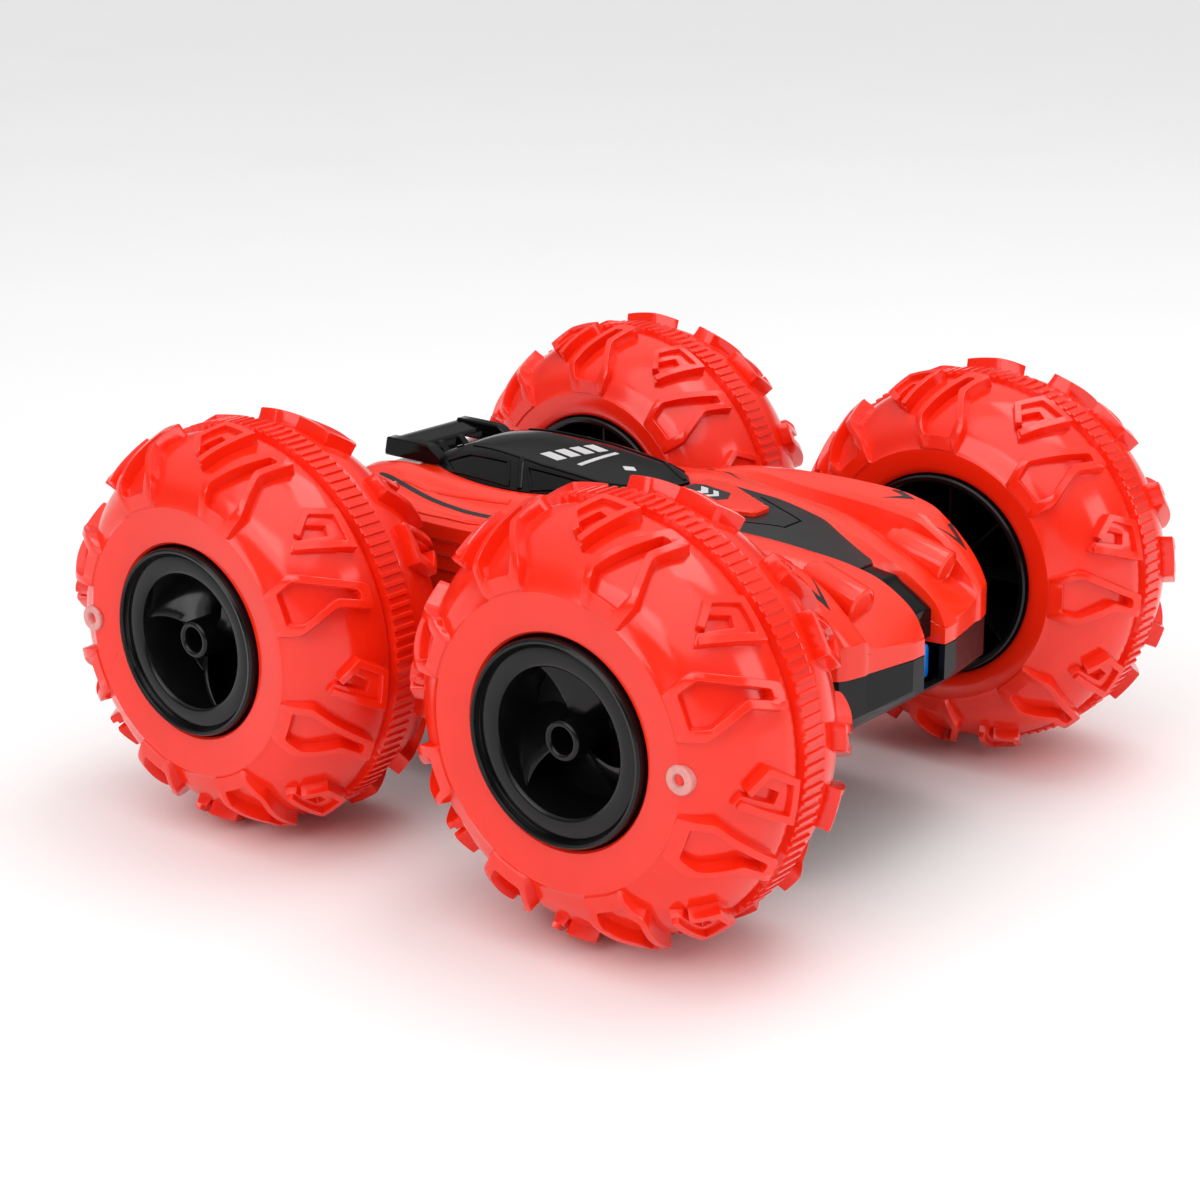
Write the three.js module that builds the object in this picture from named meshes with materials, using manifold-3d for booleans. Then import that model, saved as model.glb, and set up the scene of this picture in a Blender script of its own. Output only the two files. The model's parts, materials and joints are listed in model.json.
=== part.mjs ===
// A radio-controlled, double-sided stunt car with four oversized hollow tyres.
// Millimetres. X points forward, Y to the car's left, Z up. The origin is on the ground, under the
// middle of the car.
import * as THREE from 'three';
import { mergeVertices } from 'three/addons/utils/BufferGeometryUtils.js';
import Module from 'manifold-3d';

const wasm = await Module();
wasm.setup();

// ---- Driving dimensions -------------------------------------------------------------------------

const WHEEL_BASE = 126;
const TRACK = 170;
const WHEEL_RADIUS = 57;
const GAP = 0.3;

// Tyre, as radius and distance from the wheel's middle plane.
const BELT_RADIUS = 54.4;
const BELT_HALF_WIDTH = 4.6;
const GROOVE_RADIUS = 52;
const SHOULDER_RADIUS = 50.6;
const SHOULDER_OFFSET = 12;
const CHEEK_RADIUS = 46;
const CHEEK_OFFSET = 21.5;
const RIDGE_RADIUS = 36.6;
const RIDGE_OFFSET = 27.4;
const LUG_RIDGE_OFFSET = 28.6;
const OUTER_HOLE_RADIUS = 26.3;
const INNER_HOLE_RADIUS = 29.4;
const HOLE_OFFSET = 25.8;
const TYRE_WALL = 2.2;
const LUG_PITCHES = 8;
const LUG_HALF_ANGLE = THREE.MathUtils.degToRad(7);
const VALVE_RADIUS = 4;

// Hub, in the same two measures.
const HUB_LIP_RADIUS = 25.6;
const HUB_LIP_OFFSET = 27.9;
const HUB_FACE_RADIUS = 23.4;
const HUB_FACE_OFFSET = 26.2;
const HUB_RECESS_RADIUS = 18.2;
const HUB_RECESS_OFFSET = 12;
const HUB_WEB = 2;
const HUB_INNER_RADIUS = 28.9;
const HUB_INNER_OFFSET = -27;
const HUB_STEP_OFFSET = -3;
const BOSS_RADIUS = 5.2;
const BOSS_OFFSET = 24.5;
const BOSS_BORE = 3.25;
const SCREW_SEAT_OFFSET = 12;

// Axles and gears. Each gear train lies in one upright plane beside the motors.
const AXLE_RADIUS = 2;
const AXLE_BORE = 2.15;
const GEAR_PLANE = 29;
const GEAR_WIDTH = 5;
const STAGE_PLANE = 23;
const STAGE_WIDTH = 4;
const TRAIN_MODULE = 1.5;
const MOTOR_MODULE = 1;
const AXLE_TEETH = 20;
const IDLER_TEETH = 24;
const CENTRE_TEETH = 16;
const STAGE_TEETH = 26;
const PINION_TEETH = 10;
const BACKLASH = 0.3;

// Body shells.
const WALL = 1.8;
const NOSE_X = 98;
const TAIL_X = -97;
const BELLY_DEPTH = 31;
const SLOT_HALF_WIDTH = 4.8;
const LENS_TOP = 1.5;
const LENS_BOTTOM = -9.3;

// Battery door and switch in the belly.
const DOOR_HALF_LENGTH = 32;
const DOOR_HALF_WIDTH = 19;
const DOOR_THICKNESS = 1.5;
const DOOR_SCREW_X = 30;
const BAY_HALF_LENGTH = 28;
const BAY_HALF_WIDTH = 15.5;
const BAY_WALL = 1.5;
const BAY_TOP = -14;
const CELL_RADIUS = 6.9;
const CELL_LENGTH = 50;
const SWITCH_X = -55.6;

// Motors, side plates and what stands on them.
const MOTOR_RADIUS = 10;
const MOTOR_FLAT = 7.6;
const POST_RADIUS = 2;
const POST_BORE = 2.15;
const PLATE_Y = 36;
const PLATE_THICKNESS = 2;
const PLATE_HALF_HEIGHT = 12;
const TUBE_RADIUS = 6;
const TUBE_END = 50;

const AXLE_Z = WHEEL_RADIUS;
const AXLE_X = WHEEL_BASE / 2;
const WHEEL_Y = TRACK / 2;
const IDLER_X = TRAIN_MODULE * (CENTRE_TEETH + IDLER_TEETH) / 2;
const PINION_X = MOTOR_MODULE * (STAGE_TEETH + PINION_TEETH) / 2;

// ---- Materials ----------------------------------------------------------------------------------

function plastic(color, roughness, metalness = 0) {
  return new THREE.MeshStandardMaterial({ color, roughness, metalness });
}

const redShell = plastic(0xe8200f, 0.25);
const redVinyl = plastic(0xf02415, 0.3);
const blackGloss = plastic(0x0c0d10, 0.12);
const blackSatin = plastic(0x16171a, 0.4);
const blueLens = plastic(0x0a6ad0, 0.1);
const clearVinyl = plastic(0xe9b9b4, 0.35);
const whiteNylon = plastic(0xe6e4da, 0.5);
const greyPlastic = plastic(0x4a4c50, 0.5);
const steel = plastic(0xb4b6ba, 0.3, 0.9);
const greenBoard = plastic(0x1c6b3a, 0.5);
const batterySleeve = plastic(0x2455a8, 0.35);
const clearEpoxy = plastic(0xdfe8f2, 0.1);

// ---- Geometry helpers ---------------------------------------------------------------------------

// Joins the vertices that share a place, and drops the triangles that this flattens.
function weld(geometry) {
  const bare = geometry.index ? geometry.clone() : geometry;
  bare.deleteAttribute('normal');
  bare.deleteAttribute('uv');
  const merged = mergeVertices(bare, 1e-4);
  const corners = merged.index.array;
  const kept = [];
  for (let i = 0; i < corners.length; i += 3) {
    const [a, b, c] = [corners[i], corners[i + 1], corners[i + 2]];
    if (a !== b && b !== c && c !== a) kept.push(a, b, c);
  }
  merged.setIndex(kept);
  return merged;
}

function signedVolume(geometry) {
  const place = geometry.attributes.position;
  const [a, b, c] = [new THREE.Vector3(), new THREE.Vector3(), new THREE.Vector3()];
  let sum = 0;
  for (let i = 0; i < geometry.index.count; i += 3) {
    a.fromBufferAttribute(place, geometry.index.getX(i));
    b.fromBufferAttribute(place, geometry.index.getX(i + 1));
    c.fromBufferAttribute(place, geometry.index.getX(i + 2));
    sum += a.dot(b.cross(c));
  }
  return sum / 6;
}

// A welded copy whose faces point out.
function closed(geometry) {
  const welded = weld(geometry);
  if (signedVolume(welded) < 0) {
    const corners = Array.from(welded.index.array);
    for (let i = 0; i < corners.length; i += 3) {
      [corners[i + 1], corners[i + 2]] = [corners[i + 2], corners[i + 1]];
    }
    welded.setIndex(corners);
  }
  return welded;
}

function solid(geometry) {
  const welded = closed(geometry);
  return new wasm.Manifold(new wasm.Mesh({
    numProp: 3,
    vertProperties: new Float32Array(welded.attributes.position.array),
    triVerts: new Uint32Array(welded.index.array),
  }));
}

function geometryOf(manifold) {
  const mesh = manifold.getMesh();
  const geometry = new THREE.BufferGeometry();
  geometry.setAttribute('position', new THREE.BufferAttribute(new Float32Array(mesh.vertProperties), 3));
  geometry.setIndex(new THREE.BufferAttribute(new Uint32Array(mesh.triVerts), 1));
  return geometry;
}

function join(...pieces) {
  return pieces.reduce((whole, piece) => whole.add(piece));
}

function cut(whole, ...tools) {
  return tools.reduce((rest, tool) => rest.subtract(tool), whole);
}

// A box between two corners.
function block(low, high) {
  const size = high.map((value, i) => value - low[i]);
  const middle = high.map((value, i) => (value + low[i]) / 2);
  return solid(new THREE.BoxGeometry(...size).translate(...middle));
}

// A round bar along Y, between y0 and y1.
function barY(radius, y0, y1, x = 0, z = 0, sides = 12) {
  const bar = new THREE.CylinderGeometry(radius, radius, Math.abs(y1 - y0), sides);
  return solid(bar.translate(x, (y0 + y1) / 2, z));
}

// A round bar along Z, between z0 and z1.
function barZ(radius, z0, z1, x = 0, y = 0, sides = 12) {
  const bar = new THREE.CylinderGeometry(radius, radius, Math.abs(z1 - z0), sides).rotateX(Math.PI / 2);
  return solid(bar.translate(x, y, (z0 + z1) / 2));
}

// A turned piece about Y. The profile is a list of [radius, y].
function turned(profile, sides) {
  return new THREE.LatheGeometry(profile.map(([radius, y]) => new THREE.Vector2(radius, y)), sides);
}

// A ring whose section changes on its way round: loops of points, closed both ways.
function ringSkin(loops) {
  const places = loops.flat().flatMap((point) => point.toArray());
  const across = loops[0].length;
  const index = [];
  loops.forEach((loop, i) => {
    const here = i * across;
    const next = ((i + 1) % loops.length) * across;
    for (let j = 0; j < across; j += 1) {
      const k = (j + 1) % across;
      index.push(here + j, next + j, next + k, here + j, next + k, here + k);
    }
  });
  const geometry = new THREE.BufferGeometry();
  geometry.setAttribute('position', new THREE.Float32BufferAttribute(places, 3));
  geometry.setIndex(index);
  return geometry;
}

// A body between a surface and a flat level, over a plan that is symmetric about Y = 0. The stations
// are X values, the rows are shares of the half width, and surface gives Z for an X and a share.
function heightBody({ stations, rows, halfWidth, surface, level }) {
  const shares = [...rows.slice(1).map((share) => -share).reverse(), ...rows];
  const count = shares.length;
  const last = stations.length - 1;
  const at = (i, j) => i * count + j;
  const places = [];
  for (const x of stations) {
    for (const share of shares) places.push(x, share * halfWidth(x), surface(x, Math.abs(share)));
  }
  const index = [];
  for (let i = 0; i < last; i += 1) {
    for (let j = 0; j < count - 1; j += 1) {
      index.push(at(i, j), at(i + 1, j), at(i + 1, j + 1), at(i, j), at(i + 1, j + 1), at(i, j + 1));
    }
  }
  // The rim runs once round the plan, and the flat face closes it.
  const rim = [];
  for (let i = 0; i < last; i += 1) rim.push(at(i, 0));
  for (let j = 0; j < count - 1; j += 1) rim.push(at(last, j));
  for (let i = last; i > 0; i -= 1) rim.push(at(i, count - 1));
  for (let j = count - 1; j > 0; j -= 1) rim.push(at(0, j));
  const flat = places.length / 3;
  const outline = rim.map((k) => new THREE.Vector2(places[3 * k], places[3 * k + 1]));
  for (const point of outline) places.push(point.x, point.y, level);
  rim.forEach((k, i) => {
    const next = (i + 1) % rim.length;
    index.push(k, flat + i, flat + next, k, flat + next, rim[next]);
  });
  for (const [a, b, c] of THREE.ShapeUtils.triangulateShape(outline, [])) {
    index.push(flat + c, flat + b, flat + a);
  }
  const geometry = new THREE.BufferGeometry();
  geometry.setAttribute('position', new THREE.Float32BufferAttribute(places, 3));
  geometry.setIndex(index);
  return solid(geometry);
}

// Straight lines through a list of [x, value].
function along(points) {
  return (x) => {
    if (x <= points[0][0]) return points[0][1];
    for (let i = 1; i < points.length; i += 1) {
      const [x0, v0] = points[i - 1];
      const [x1, v1] = points[i];
      if (x <= x1) return v0 + (v1 - v0) * (x - x0) / (x1 - x0);
    }
    return points[points.length - 1][1];
  };
}

// ---- The car's group ----------------------------------------------------------------------------

const car = new THREE.Group();

// Everything on the body is placed from the axle plane, which is also the shells' parting plane.
const body = new THREE.Group();
body.position.z = AXLE_Z;
car.add(body);

function addPart(parent, name, material, shape) {
  const geometry = shape.isBufferGeometry ? closed(shape) : geometryOf(shape);
  const mesh = new THREE.Mesh(geometry, material);
  mesh.name = name;
  parent.add(mesh);
  return mesh;
}

// ---- Body lines, as [x, value] from tail to nose --------------------------------------------------

const halfWidth = along([[-97, 26], [-90, 36], [-78, 41], [78, 41], [86, 38.5], [92, 36], [94, 26],
  [98, 10.5]]);
const spineTop = along([[-97, 9], [-90, 20], [-78, 29], [-58, 30], [16, 30], [42, 28.4], [58, 25.3],
  [76, 19], [84, 16.4], [92, 12], [98, 8.6]]);
const valleyTop = along([[-97, 9], [-88, 22], [-70, 30], [-48, 27.5], [-15, 26], [10, 28], [40, 25],
  [60, 21.5], [75, 17.5], [85, 13.5], [92, 8.5], [98, 5.6]]);
const crestTop = along([[-97, 9], [-88, 22], [-79, 30], [-63, 34.5], [-45, 27.5], [-15, 26], [14, 29.5],
  [46, 30.5], [69, 31], [76, 27.5], [82, 23.5], [88, 17], [92, 9.5], [98, 5.2]]);
const bellyDrop = along([[-97, 9], [-86, 24], [-72, BELLY_DEPTH], [64, BELLY_DEPTH], [74, 26.5], [84, 20],
  [92, 13.5], [98, 9.5]]);
const STATIONS = [-97, -88, -78, -63, -45, -15, 14, 46, 60, 69, 76, 84, 92, 94, NOSE_X];
const ROWS = [0, 0.3, 0.68, 0.95, 1];
const INSIDE_ROWS = [0, 0.3, 0.68, 1];
const BELLY_STATIONS = [-97, -86, -72, 64, 74, 84, 92, 94, NOSE_X];
const BELLY_ROWS = [0, 0.68, 1];
const CREST_SHARE = 0.95;
const VALLEY_SHARE = 0.68;
const SPINE_SHARE = 0.3;

// Height of the upper shell's outside: spine, valley, then up to the fender's crest.
function upperOutside(x, share) {
  if (share <= SPINE_SHARE) return spineTop(x);
  if (share <= VALLEY_SHARE) {
    const t = (share - SPINE_SHARE) / (VALLEY_SHARE - SPINE_SHARE);
    return THREE.MathUtils.lerp(spineTop(x), valleyTop(x), t);
  }
  if (share <= CREST_SHARE) {
    const t = (share - VALLEY_SHARE) / (CREST_SHARE - VALLEY_SHARE);
    return THREE.MathUtils.lerp(valleyTop(x), crestTop(x), t);
  }
  return crestTop(x) - 1.5;
}

function lowerOutside(x, share) {
  const sideRise = share > VALLEY_SHARE ? 1 - 0.12 * (share - VALLEY_SHARE) / (1 - VALLEY_SHARE) : 1;
  return -bellyDrop(x) * sideRise;
}

// The same lines moved in by the wall, for the hollow inside.
function inset(x) {
  return THREE.MathUtils.clamp(x, TAIL_X + WALL, NOSE_X - WALL);
}
const insideStations = STATIONS.map(inset);
const insideHalf = (x) => halfWidth(x) - WALL;

// ---- Openings shared by the shells ----------------------------------------------------------------

const axleHoles = [];
for (const end of [1, -1]) {
  for (const side of [1, -1]) {
    axleHoles.push(barY(TUBE_RADIUS + GAP + 0.1, side * 34, side * 46, end * AXLE_X, 0, 16));
  }
}
const lensSlot = block(
  [91, -SLOT_HALF_WIDTH - GAP, LENS_BOTTOM - GAP],
  [NOSE_X + 2, SLOT_HALF_WIDTH + GAP, LENS_TOP + GAP],
);
const SHELL_POSTS = [[58, 18], [58, -18], [-68, 14], [-68, -14]];

// ---- Canopy ---------------------------------------------------------------------------------------

const CANOPY_FLOOR = 26.4;
const canopyStations = [-58, -49, -35, -20, 0, 9, 15];
const canopyHalf = along([[-58, 17], [-49, 21.5], [-35, 24], [-20, 24], [0, 19], [9, 13.5], [15, 6]]);
const roofLine = along([[-58, 35], [-49, 37.4], [-35, 36.6], [-20, 35.4], [0, 33.3], [9, 32], [15, 31.5]]);
const sillLine = along([[-58, 29.5], [-35, 29], [-20, 29], [0, 30], [9, 31], [15, 31.2]]);
const ROOF_SHARE = 0.62;

function canopyCap(drop, narrow, floor) {
  return heightBody({
    stations: canopyStations.map((x) => THREE.MathUtils.clamp(x, -58 + narrow, 15 - narrow)),
    rows: [0, ROOF_SHARE, 1],
    halfWidth: (x) => canopyHalf(x) - narrow,
    surface: (x, share) => (share <= ROOF_SHARE ? roofLine(x) : sillLine(x)) - drop,
    level: floor,
  });
}

const canopyOpening = canopyCap(-8, -GAP, 20);
addPart(body, 'canopy', blackGloss, cut(canopyCap(0, 0, CANOPY_FLOOR), canopyCap(WALL, WALL, 20)));

// ---- Bonnet panel, badge plate and nose strip -----------------------------------------------------

const panelHalf = along([[16.6, 20.5], [38, 20], [57, 13], [74, 6.6]]);
const panelTop = along([[16.6, 29.2], [34, 28.4], [53, 26.8], [60, 24.6], [74, 19.4]]);

// The panel's plan, from a level far below up to its outside raised by rise.
function panelBlock(grow, rise) {
  return heightBody({
    stations: [16.6 - grow, 38, 57, 74 + grow],
    rows: [0, 1],
    halfWidth: (x) => panelHalf(x) + grow,
    surface: (x) => panelTop(x) + rise,
    level: 8,
  });
}

const panelOpening = panelBlock(GAP, 12);
addPart(body, 'bonnet_panel', blackGloss, cut(panelBlock(0, 0), panelBlock(1, -WALL)));

const plateHalf = along([[16.6, 11], [23, 14], [44, 3.5]]);
const plateBlock = heightBody({
  stations: [16.6, 23, 44],
  rows: [0, 1],
  halfWidth: plateHalf,
  surface: along([[16.6, 31.8], [23, 31.5], [44, 29.4]]),
  level: 20,
});
addPart(body, 'badge_plate', redShell, cut(plateBlock, panelBlock(1, GAP)));

const stripShape = new THREE.Shape();
stripShape.moveTo(75, 17.6);
stripShape.lineTo(84, 16);
stripShape.lineTo(92, 12);
stripShape.lineTo(NOSE_X - GAP, 8.6);
stripShape.lineTo(NOSE_X - GAP, LENS_TOP + GAP);
stripShape.lineTo(94, LENS_TOP + GAP);
stripShape.lineTo(94, 8);
stripShape.lineTo(75, 14.6);
stripShape.closePath();
const stripHalfWidth = SLOT_HALF_WIDTH - GAP;
const stripBar = new THREE.ExtrudeGeometry(stripShape, { depth: 2 * stripHalfWidth, bevelEnabled: false });
stripBar.rotateX(Math.PI / 2).translate(0, stripHalfWidth, 0);
addPart(body, 'nose_strip', blackGloss, stripBar);
const stripSlot = block([74.6, -SLOT_HALF_WIDTH, -1], [NOSE_X + 2, SLOT_HALF_WIDTH, 40]);

// ---- Shells ---------------------------------------------------------------------------------------

const plan = { stations: STATIONS, rows: ROWS, halfWidth };
const insidePlan = { stations: insideStations, rows: INSIDE_ROWS, halfWidth: insideHalf };
const upperSkin = heightBody({ ...plan, surface: upperOutside, level: GAP / 2 });
const upperHollow = heightBody({
  ...insidePlan,
  surface: (x, share) => upperOutside(x, share) - WALL,
  level: -2,
});
const upperPosts = SHELL_POSTS.map(([x, y]) => barZ(3, -14, spineTop(x) - 1, x, y, 10));
const upperPostBores = SHELL_POSTS.map(([x, y]) => barZ(1.3, -15, 8, x, y, 8));
const upperShell = cut(
  join(cut(upperSkin, upperHollow), ...upperPosts),
  ...upperPostBores, ...axleHoles, lensSlot, stripSlot, canopyOpening, panelOpening,
);
addPart(body, 'upper_shell', redShell, upperShell);

const bellyPlan = { stations: BELLY_STATIONS, rows: BELLY_ROWS };
const lowerSkin = heightBody({ ...bellyPlan, halfWidth, surface: lowerOutside, level: -GAP / 2 });
const lowerHollow = heightBody({
  stations: BELLY_STATIONS.map(inset),
  rows: BELLY_ROWS,
  halfWidth: insideHalf,
  surface: (x, share) => lowerOutside(x, share) + WALL,
  level: 2,
});
const BELLY = -BELLY_DEPTH;
const doorRecess = block(
  [-DOOR_HALF_LENGTH - GAP, -DOOR_HALF_WIDTH - GAP, BELLY - 1],
  [DOOR_HALF_LENGTH + GAP, DOOR_HALF_WIDTH + GAP, BELLY + DOOR_THICKNESS],
);
const recessFloor = block(
  [-DOOR_HALF_LENGTH - 1.5, -DOOR_HALF_WIDTH - 1.5, BELLY + 0.5],
  [DOOR_HALF_LENGTH + 1.5, DOOR_HALF_WIDTH + 1.5, BELLY + 3.2],
);
const bayMouth = block(
  [-BAY_HALF_LENGTH, -BAY_HALF_WIDTH, BELLY - 1],
  [BAY_HALF_LENGTH, BAY_HALF_WIDTH, BELLY + 4],
);
const bayWalls = cut(
  block(
    [-BAY_HALF_LENGTH - BAY_WALL, -BAY_HALF_WIDTH - BAY_WALL, BELLY + 1],
    [BAY_HALF_LENGTH + BAY_WALL, BAY_HALF_WIDTH + BAY_WALL, BAY_TOP],
  ),
  block([-BAY_HALF_LENGTH, -BAY_HALF_WIDTH, BELLY - 1], [BAY_HALF_LENGTH, BAY_HALF_WIDTH, BAY_TOP + 1]),
);
const lowerPosts = SHELL_POSTS.map(([x, y]) => barZ(3.4, BELLY + 1, -14 - GAP, x, y, 10));
const lowerPostBores = SHELL_POSTS.map(([x, y]) => barZ(1.7, BELLY - 1, -13, x, y, 8));
const lowerPostSeats = SHELL_POSTS.map(([x, y]) => barZ(2.9, BELLY - 1, BELLY + 6, x, y, 10));
const doorScrewHole = barZ(1.5, BELLY, BELLY + 9, DOOR_SCREW_X, 0, 8);
const doorScrewPost = barZ(3, BELLY + 2, BELLY + 9, DOOR_SCREW_X + 1.4, 0, 10);
const switchHole = block([SWITCH_X - 5, -3, BELLY - 1], [SWITCH_X + 5, 3, BELLY + 4]);
const lowerShell = cut(
  join(cut(lowerSkin, lowerHollow), recessFloor, bayWalls, doorScrewPost, ...lowerPosts),
  doorRecess, bayMouth, doorScrewHole, switchHole, lensSlot,
  ...lowerPostBores, ...lowerPostSeats, ...axleHoles,
);
addPart(body, 'lower_shell', blackSatin, lowerShell);

SHELL_POSTS.forEach(([x, y], i) => {
  const head = barZ(2.5, BELLY + 4.4, BELLY + 5.8, x, y, 8);
  const shank = barZ(1.1, BELLY + 5.5, -4, x, y, 6);
  addPart(body, `shell_screw_${i + 1}`, steel, join(head, shank));
});

// ---- Spoiler --------------------------------------------------------------------------------------

const wing = block([-81, -17, 34], [-70, 17, 35.4]);
const endPlates = [1, -1].map((side) => heightBody({
  stations: [-82, -76, -60],
  rows: [0, 1],
  halfWidth: () => 1.3,
  surface: along([[-82, 35], [-76, 37.2], [-60, 32]]),
  level: 30.5,
}).translate([0, side * 16, 0]));
addPart(body, 'rear_spoiler', blackGloss, join(wing, ...endPlates));

// ---- Lens and lamp --------------------------------------------------------------------------------

addPart(body, 'nose_lens', blueLens, block(
  [93.5, -SLOT_HALF_WIDTH, LENS_BOTTOM],
  [NOSE_X - GAP, SLOT_HALF_WIDTH, LENS_TOP],
));
const ledProfile = [[0, 82], [2.5, 82], [2.5, 88], [1.8, 90], [0, 90.8]];
addPart(body, 'nose_led', clearEpoxy, turned(ledProfile, 12).rotateZ(-Math.PI / 2).translate(0, 0, -3.5));

// ---- Tray, board, battery, switch -----------------------------------------------------------------

const trayFloor = block([-44, -21, -13.6], [44, 21, -12]);
const trayRails = [20.2, -20.2].map((y) => block([-44, y - 0.8, -12.5], [44, y + 0.8, -10.4]));
addPart(body, 'chassis_tray', greyPlastic, join(trayFloor, ...trayRails));

const boardPlate = block([-20, -15, 13], [20, 15, 14.6]);
const boardParts = [
  block([-14, -9, 14], [-4, 3, 16.4]),
  block([4, -3, 14], [12, 1, 17.5]),
  block([2, 5, 14], [14, 11, 19]),
];
addPart(body, 'circuit_board', greenBoard, join(boardPlate, ...boardParts));

const cells = [1, -1].map((side) => {
  const cell = new THREE.CylinderGeometry(CELL_RADIUS, CELL_RADIUS, CELL_LENGTH, 16).rotateZ(Math.PI / 2);
  return solid(cell.translate(0, side * (CELL_RADIUS - 0.1), BELLY + DOOR_THICKNESS + CELL_RADIUS + 0.6));
});
addPart(body, 'battery_pack', batterySleeve, join(...cells));

const doorPlate = block(
  [-DOOR_HALF_LENGTH, -DOOR_HALF_WIDTH, BELLY],
  [DOOR_HALF_LENGTH, DOOR_HALF_WIDTH, BELLY + DOOR_THICKNESS - GAP],
);
const doorGrips = [-27, -24, -21, -18].map((x) => block([x, -7, BELLY - 1], [x + 1.5, 7, BELLY + 0.5]));
const doorScrewClear = barZ(1.5, BELLY - 1, BELLY + 3, DOOR_SCREW_X, 0, 8);
addPart(body, 'battery_door', blackSatin, cut(doorPlate, ...doorGrips, doorScrewClear));
addPart(body, 'battery_screw', steel, join(
  barZ(2.4, BELLY - 1.2, BELLY - 0.2, DOOR_SCREW_X, 0, 10),
  barZ(1.1, BELLY - 0.6, BELLY + 6.5, DOOR_SCREW_X, 0, 8),
));

addPart(body, 'switch_body', greyPlastic, cut(
  block([SWITCH_X - 7, -5, BELLY + WALL + GAP], [SWITCH_X + 7, 5, BELLY + WALL + 7]),
  block([SWITCH_X - 4.5, -2.2, BELLY], [SWITCH_X + 4.5, 2.2, BELLY + WALL + 4]),
));
addPart(body, 'power_switch', blackSatin, block(
  [SWITCH_X - 4, -1.9, BELLY + 0.4],
  [SWITCH_X, 1.9, BELLY + WALL + 3.6],
));

// ---- Gears, motors and side plates ----------------------------------------------------------------

function involute(angle) {
  return Math.tan(angle) - angle;
}

// A spur gear about Y with a bore. Its flanks are chords of 20 degree involutes.
function gear(teeth, module, y0, width, bore, phase) {
  const pitch = module * teeth / 2;
  const base = pitch * Math.cos(THREE.MathUtils.degToRad(20));
  const rootRadius = pitch - 1.2 * module;
  const tipRadius = pitch + 0.85 * module;
  const halfAngle = (radius) => {
    const atPitch = (Math.PI / 2 - BACKLASH / module) / teeth + involute(THREE.MathUtils.degToRad(20));
    return atPitch - involute(Math.acos(Math.min(1, base / radius)));
  };
  const shape = new THREE.Shape();
  const corners = [];
  for (let i = 0; i < teeth; i += 1) {
    const middle = 2 * Math.PI * (i + phase) / teeth;
    const wide = halfAngle(Math.max(base, rootRadius));
    const narrow = halfAngle(tipRadius);
    corners.push([rootRadius, middle - wide], [tipRadius, middle - narrow]);
    corners.push([tipRadius, middle + narrow], [rootRadius, middle + wide]);
  }
  shape.setFromPoints(corners.map(([r, a]) => new THREE.Vector2(r * Math.cos(a), r * Math.sin(a))));
  const wheel = new THREE.ExtrudeGeometry(shape, { depth: width, bevelEnabled: false });
  wheel.rotateX(Math.PI / 2).translate(0, y0 + width, 0);
  return cut(solid(wheel), barY(bore, y0 - 1, y0 + width + 1));
}

// The right train is the left one turned half round.
function addGearTrain(parent, label, side) {
  const train = new THREE.Group();
  train.rotation.z = side < 0 ? Math.PI : 0;
  parent.add(train);

  for (const [end, way] of [['front', 1], ['rear', -1]]) {
    const x = way * side * AXLE_X;
    const idlerX = way * side * IDLER_X;
    const axleGear = gear(AXLE_TEETH, TRAIN_MODULE, GEAR_PLANE, GEAR_WIDTH, AXLE_BORE, 0);
    const idler = gear(IDLER_TEETH, TRAIN_MODULE, GEAR_PLANE, GEAR_WIDTH, POST_BORE, 0.5);
    addPart(train, `${end}_${label}_axle_gear`, whiteNylon, axleGear.translate([x, 0, 0]));
    addPart(train, `${end}_${label}_idler_gear`, whiteNylon, idler.translate([idlerX, 0, 0]));
  }

  const centre = cut(
    join(
      gear(CENTRE_TEETH, TRAIN_MODULE, GEAR_PLANE, GEAR_WIDTH, POST_BORE, 0),
      gear(STAGE_TEETH, MOTOR_MODULE, STAGE_PLANE, STAGE_WIDTH, POST_BORE, 0),
      barY(5, STAGE_PLANE + 1, GEAR_PLANE + 1),
    ),
    barY(POST_BORE, STAGE_PLANE - 1, GEAR_PLANE + GEAR_WIDTH + 1),
  );
  addPart(train, `${label}_centre_gear`, whiteNylon, centre);

  const pinion = gear(PINION_TEETH, MOTOR_MODULE, STAGE_PLANE, STAGE_WIDTH, 1.2, 0.5);
  addPart(train, `${label}_pinion`, steel, pinion.translate([PINION_X, 0, 0]));
  const motorShaft = barY(1, -4, STAGE_PLANE + STAGE_WIDTH + 1, PINION_X, 0, 8);
  addPart(train, `${label}_motor_shaft`, steel, motorShaft);

  const can = barY(MOTOR_RADIUS, -6, 18.6, PINION_X, 0, 16);
  const flats = block([PINION_X - 12, -8, -MOTOR_FLAT], [PINION_X + 12, 20, MOTOR_FLAT]);
  const nose = barY(3, 18, 20.4, PINION_X, 0, 10);
  const shaftBore = barY(1.3, -5, 22, PINION_X, 0, 8);
  addPart(train, `${label}_motor`, steel, cut(join(can.intersect(flats), nose), shaftBore));

  const plate = block(
    [-AXLE_X - 10, PLATE_Y, -PLATE_HALF_HEIGHT],
    [AXLE_X + 10, PLATE_Y + PLATE_THICKNESS, PLATE_HALF_HEIGHT],
  );
  const tubes = [1, -1].map((way) => barY(TUBE_RADIUS, PLATE_Y, TUBE_END, way * AXLE_X, 0, 12));
  const bores = [1, -1].map((way) => barY(AXLE_BORE, PLATE_Y - 1, TUBE_END + 1, way * AXLE_X));
  const posts = [-IDLER_X, 0, IDLER_X].map((x) => {
    const reach = x === 0 ? STAGE_PLANE - 0.5 : GEAR_PLANE - 0.5;
    return barY(POST_RADIUS, reach, PLATE_Y + 1, x);
  });
  addPart(train, `${label}_gear_plate`, greyPlastic, cut(join(plate, ...tubes, ...posts), ...bores));
}

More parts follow.
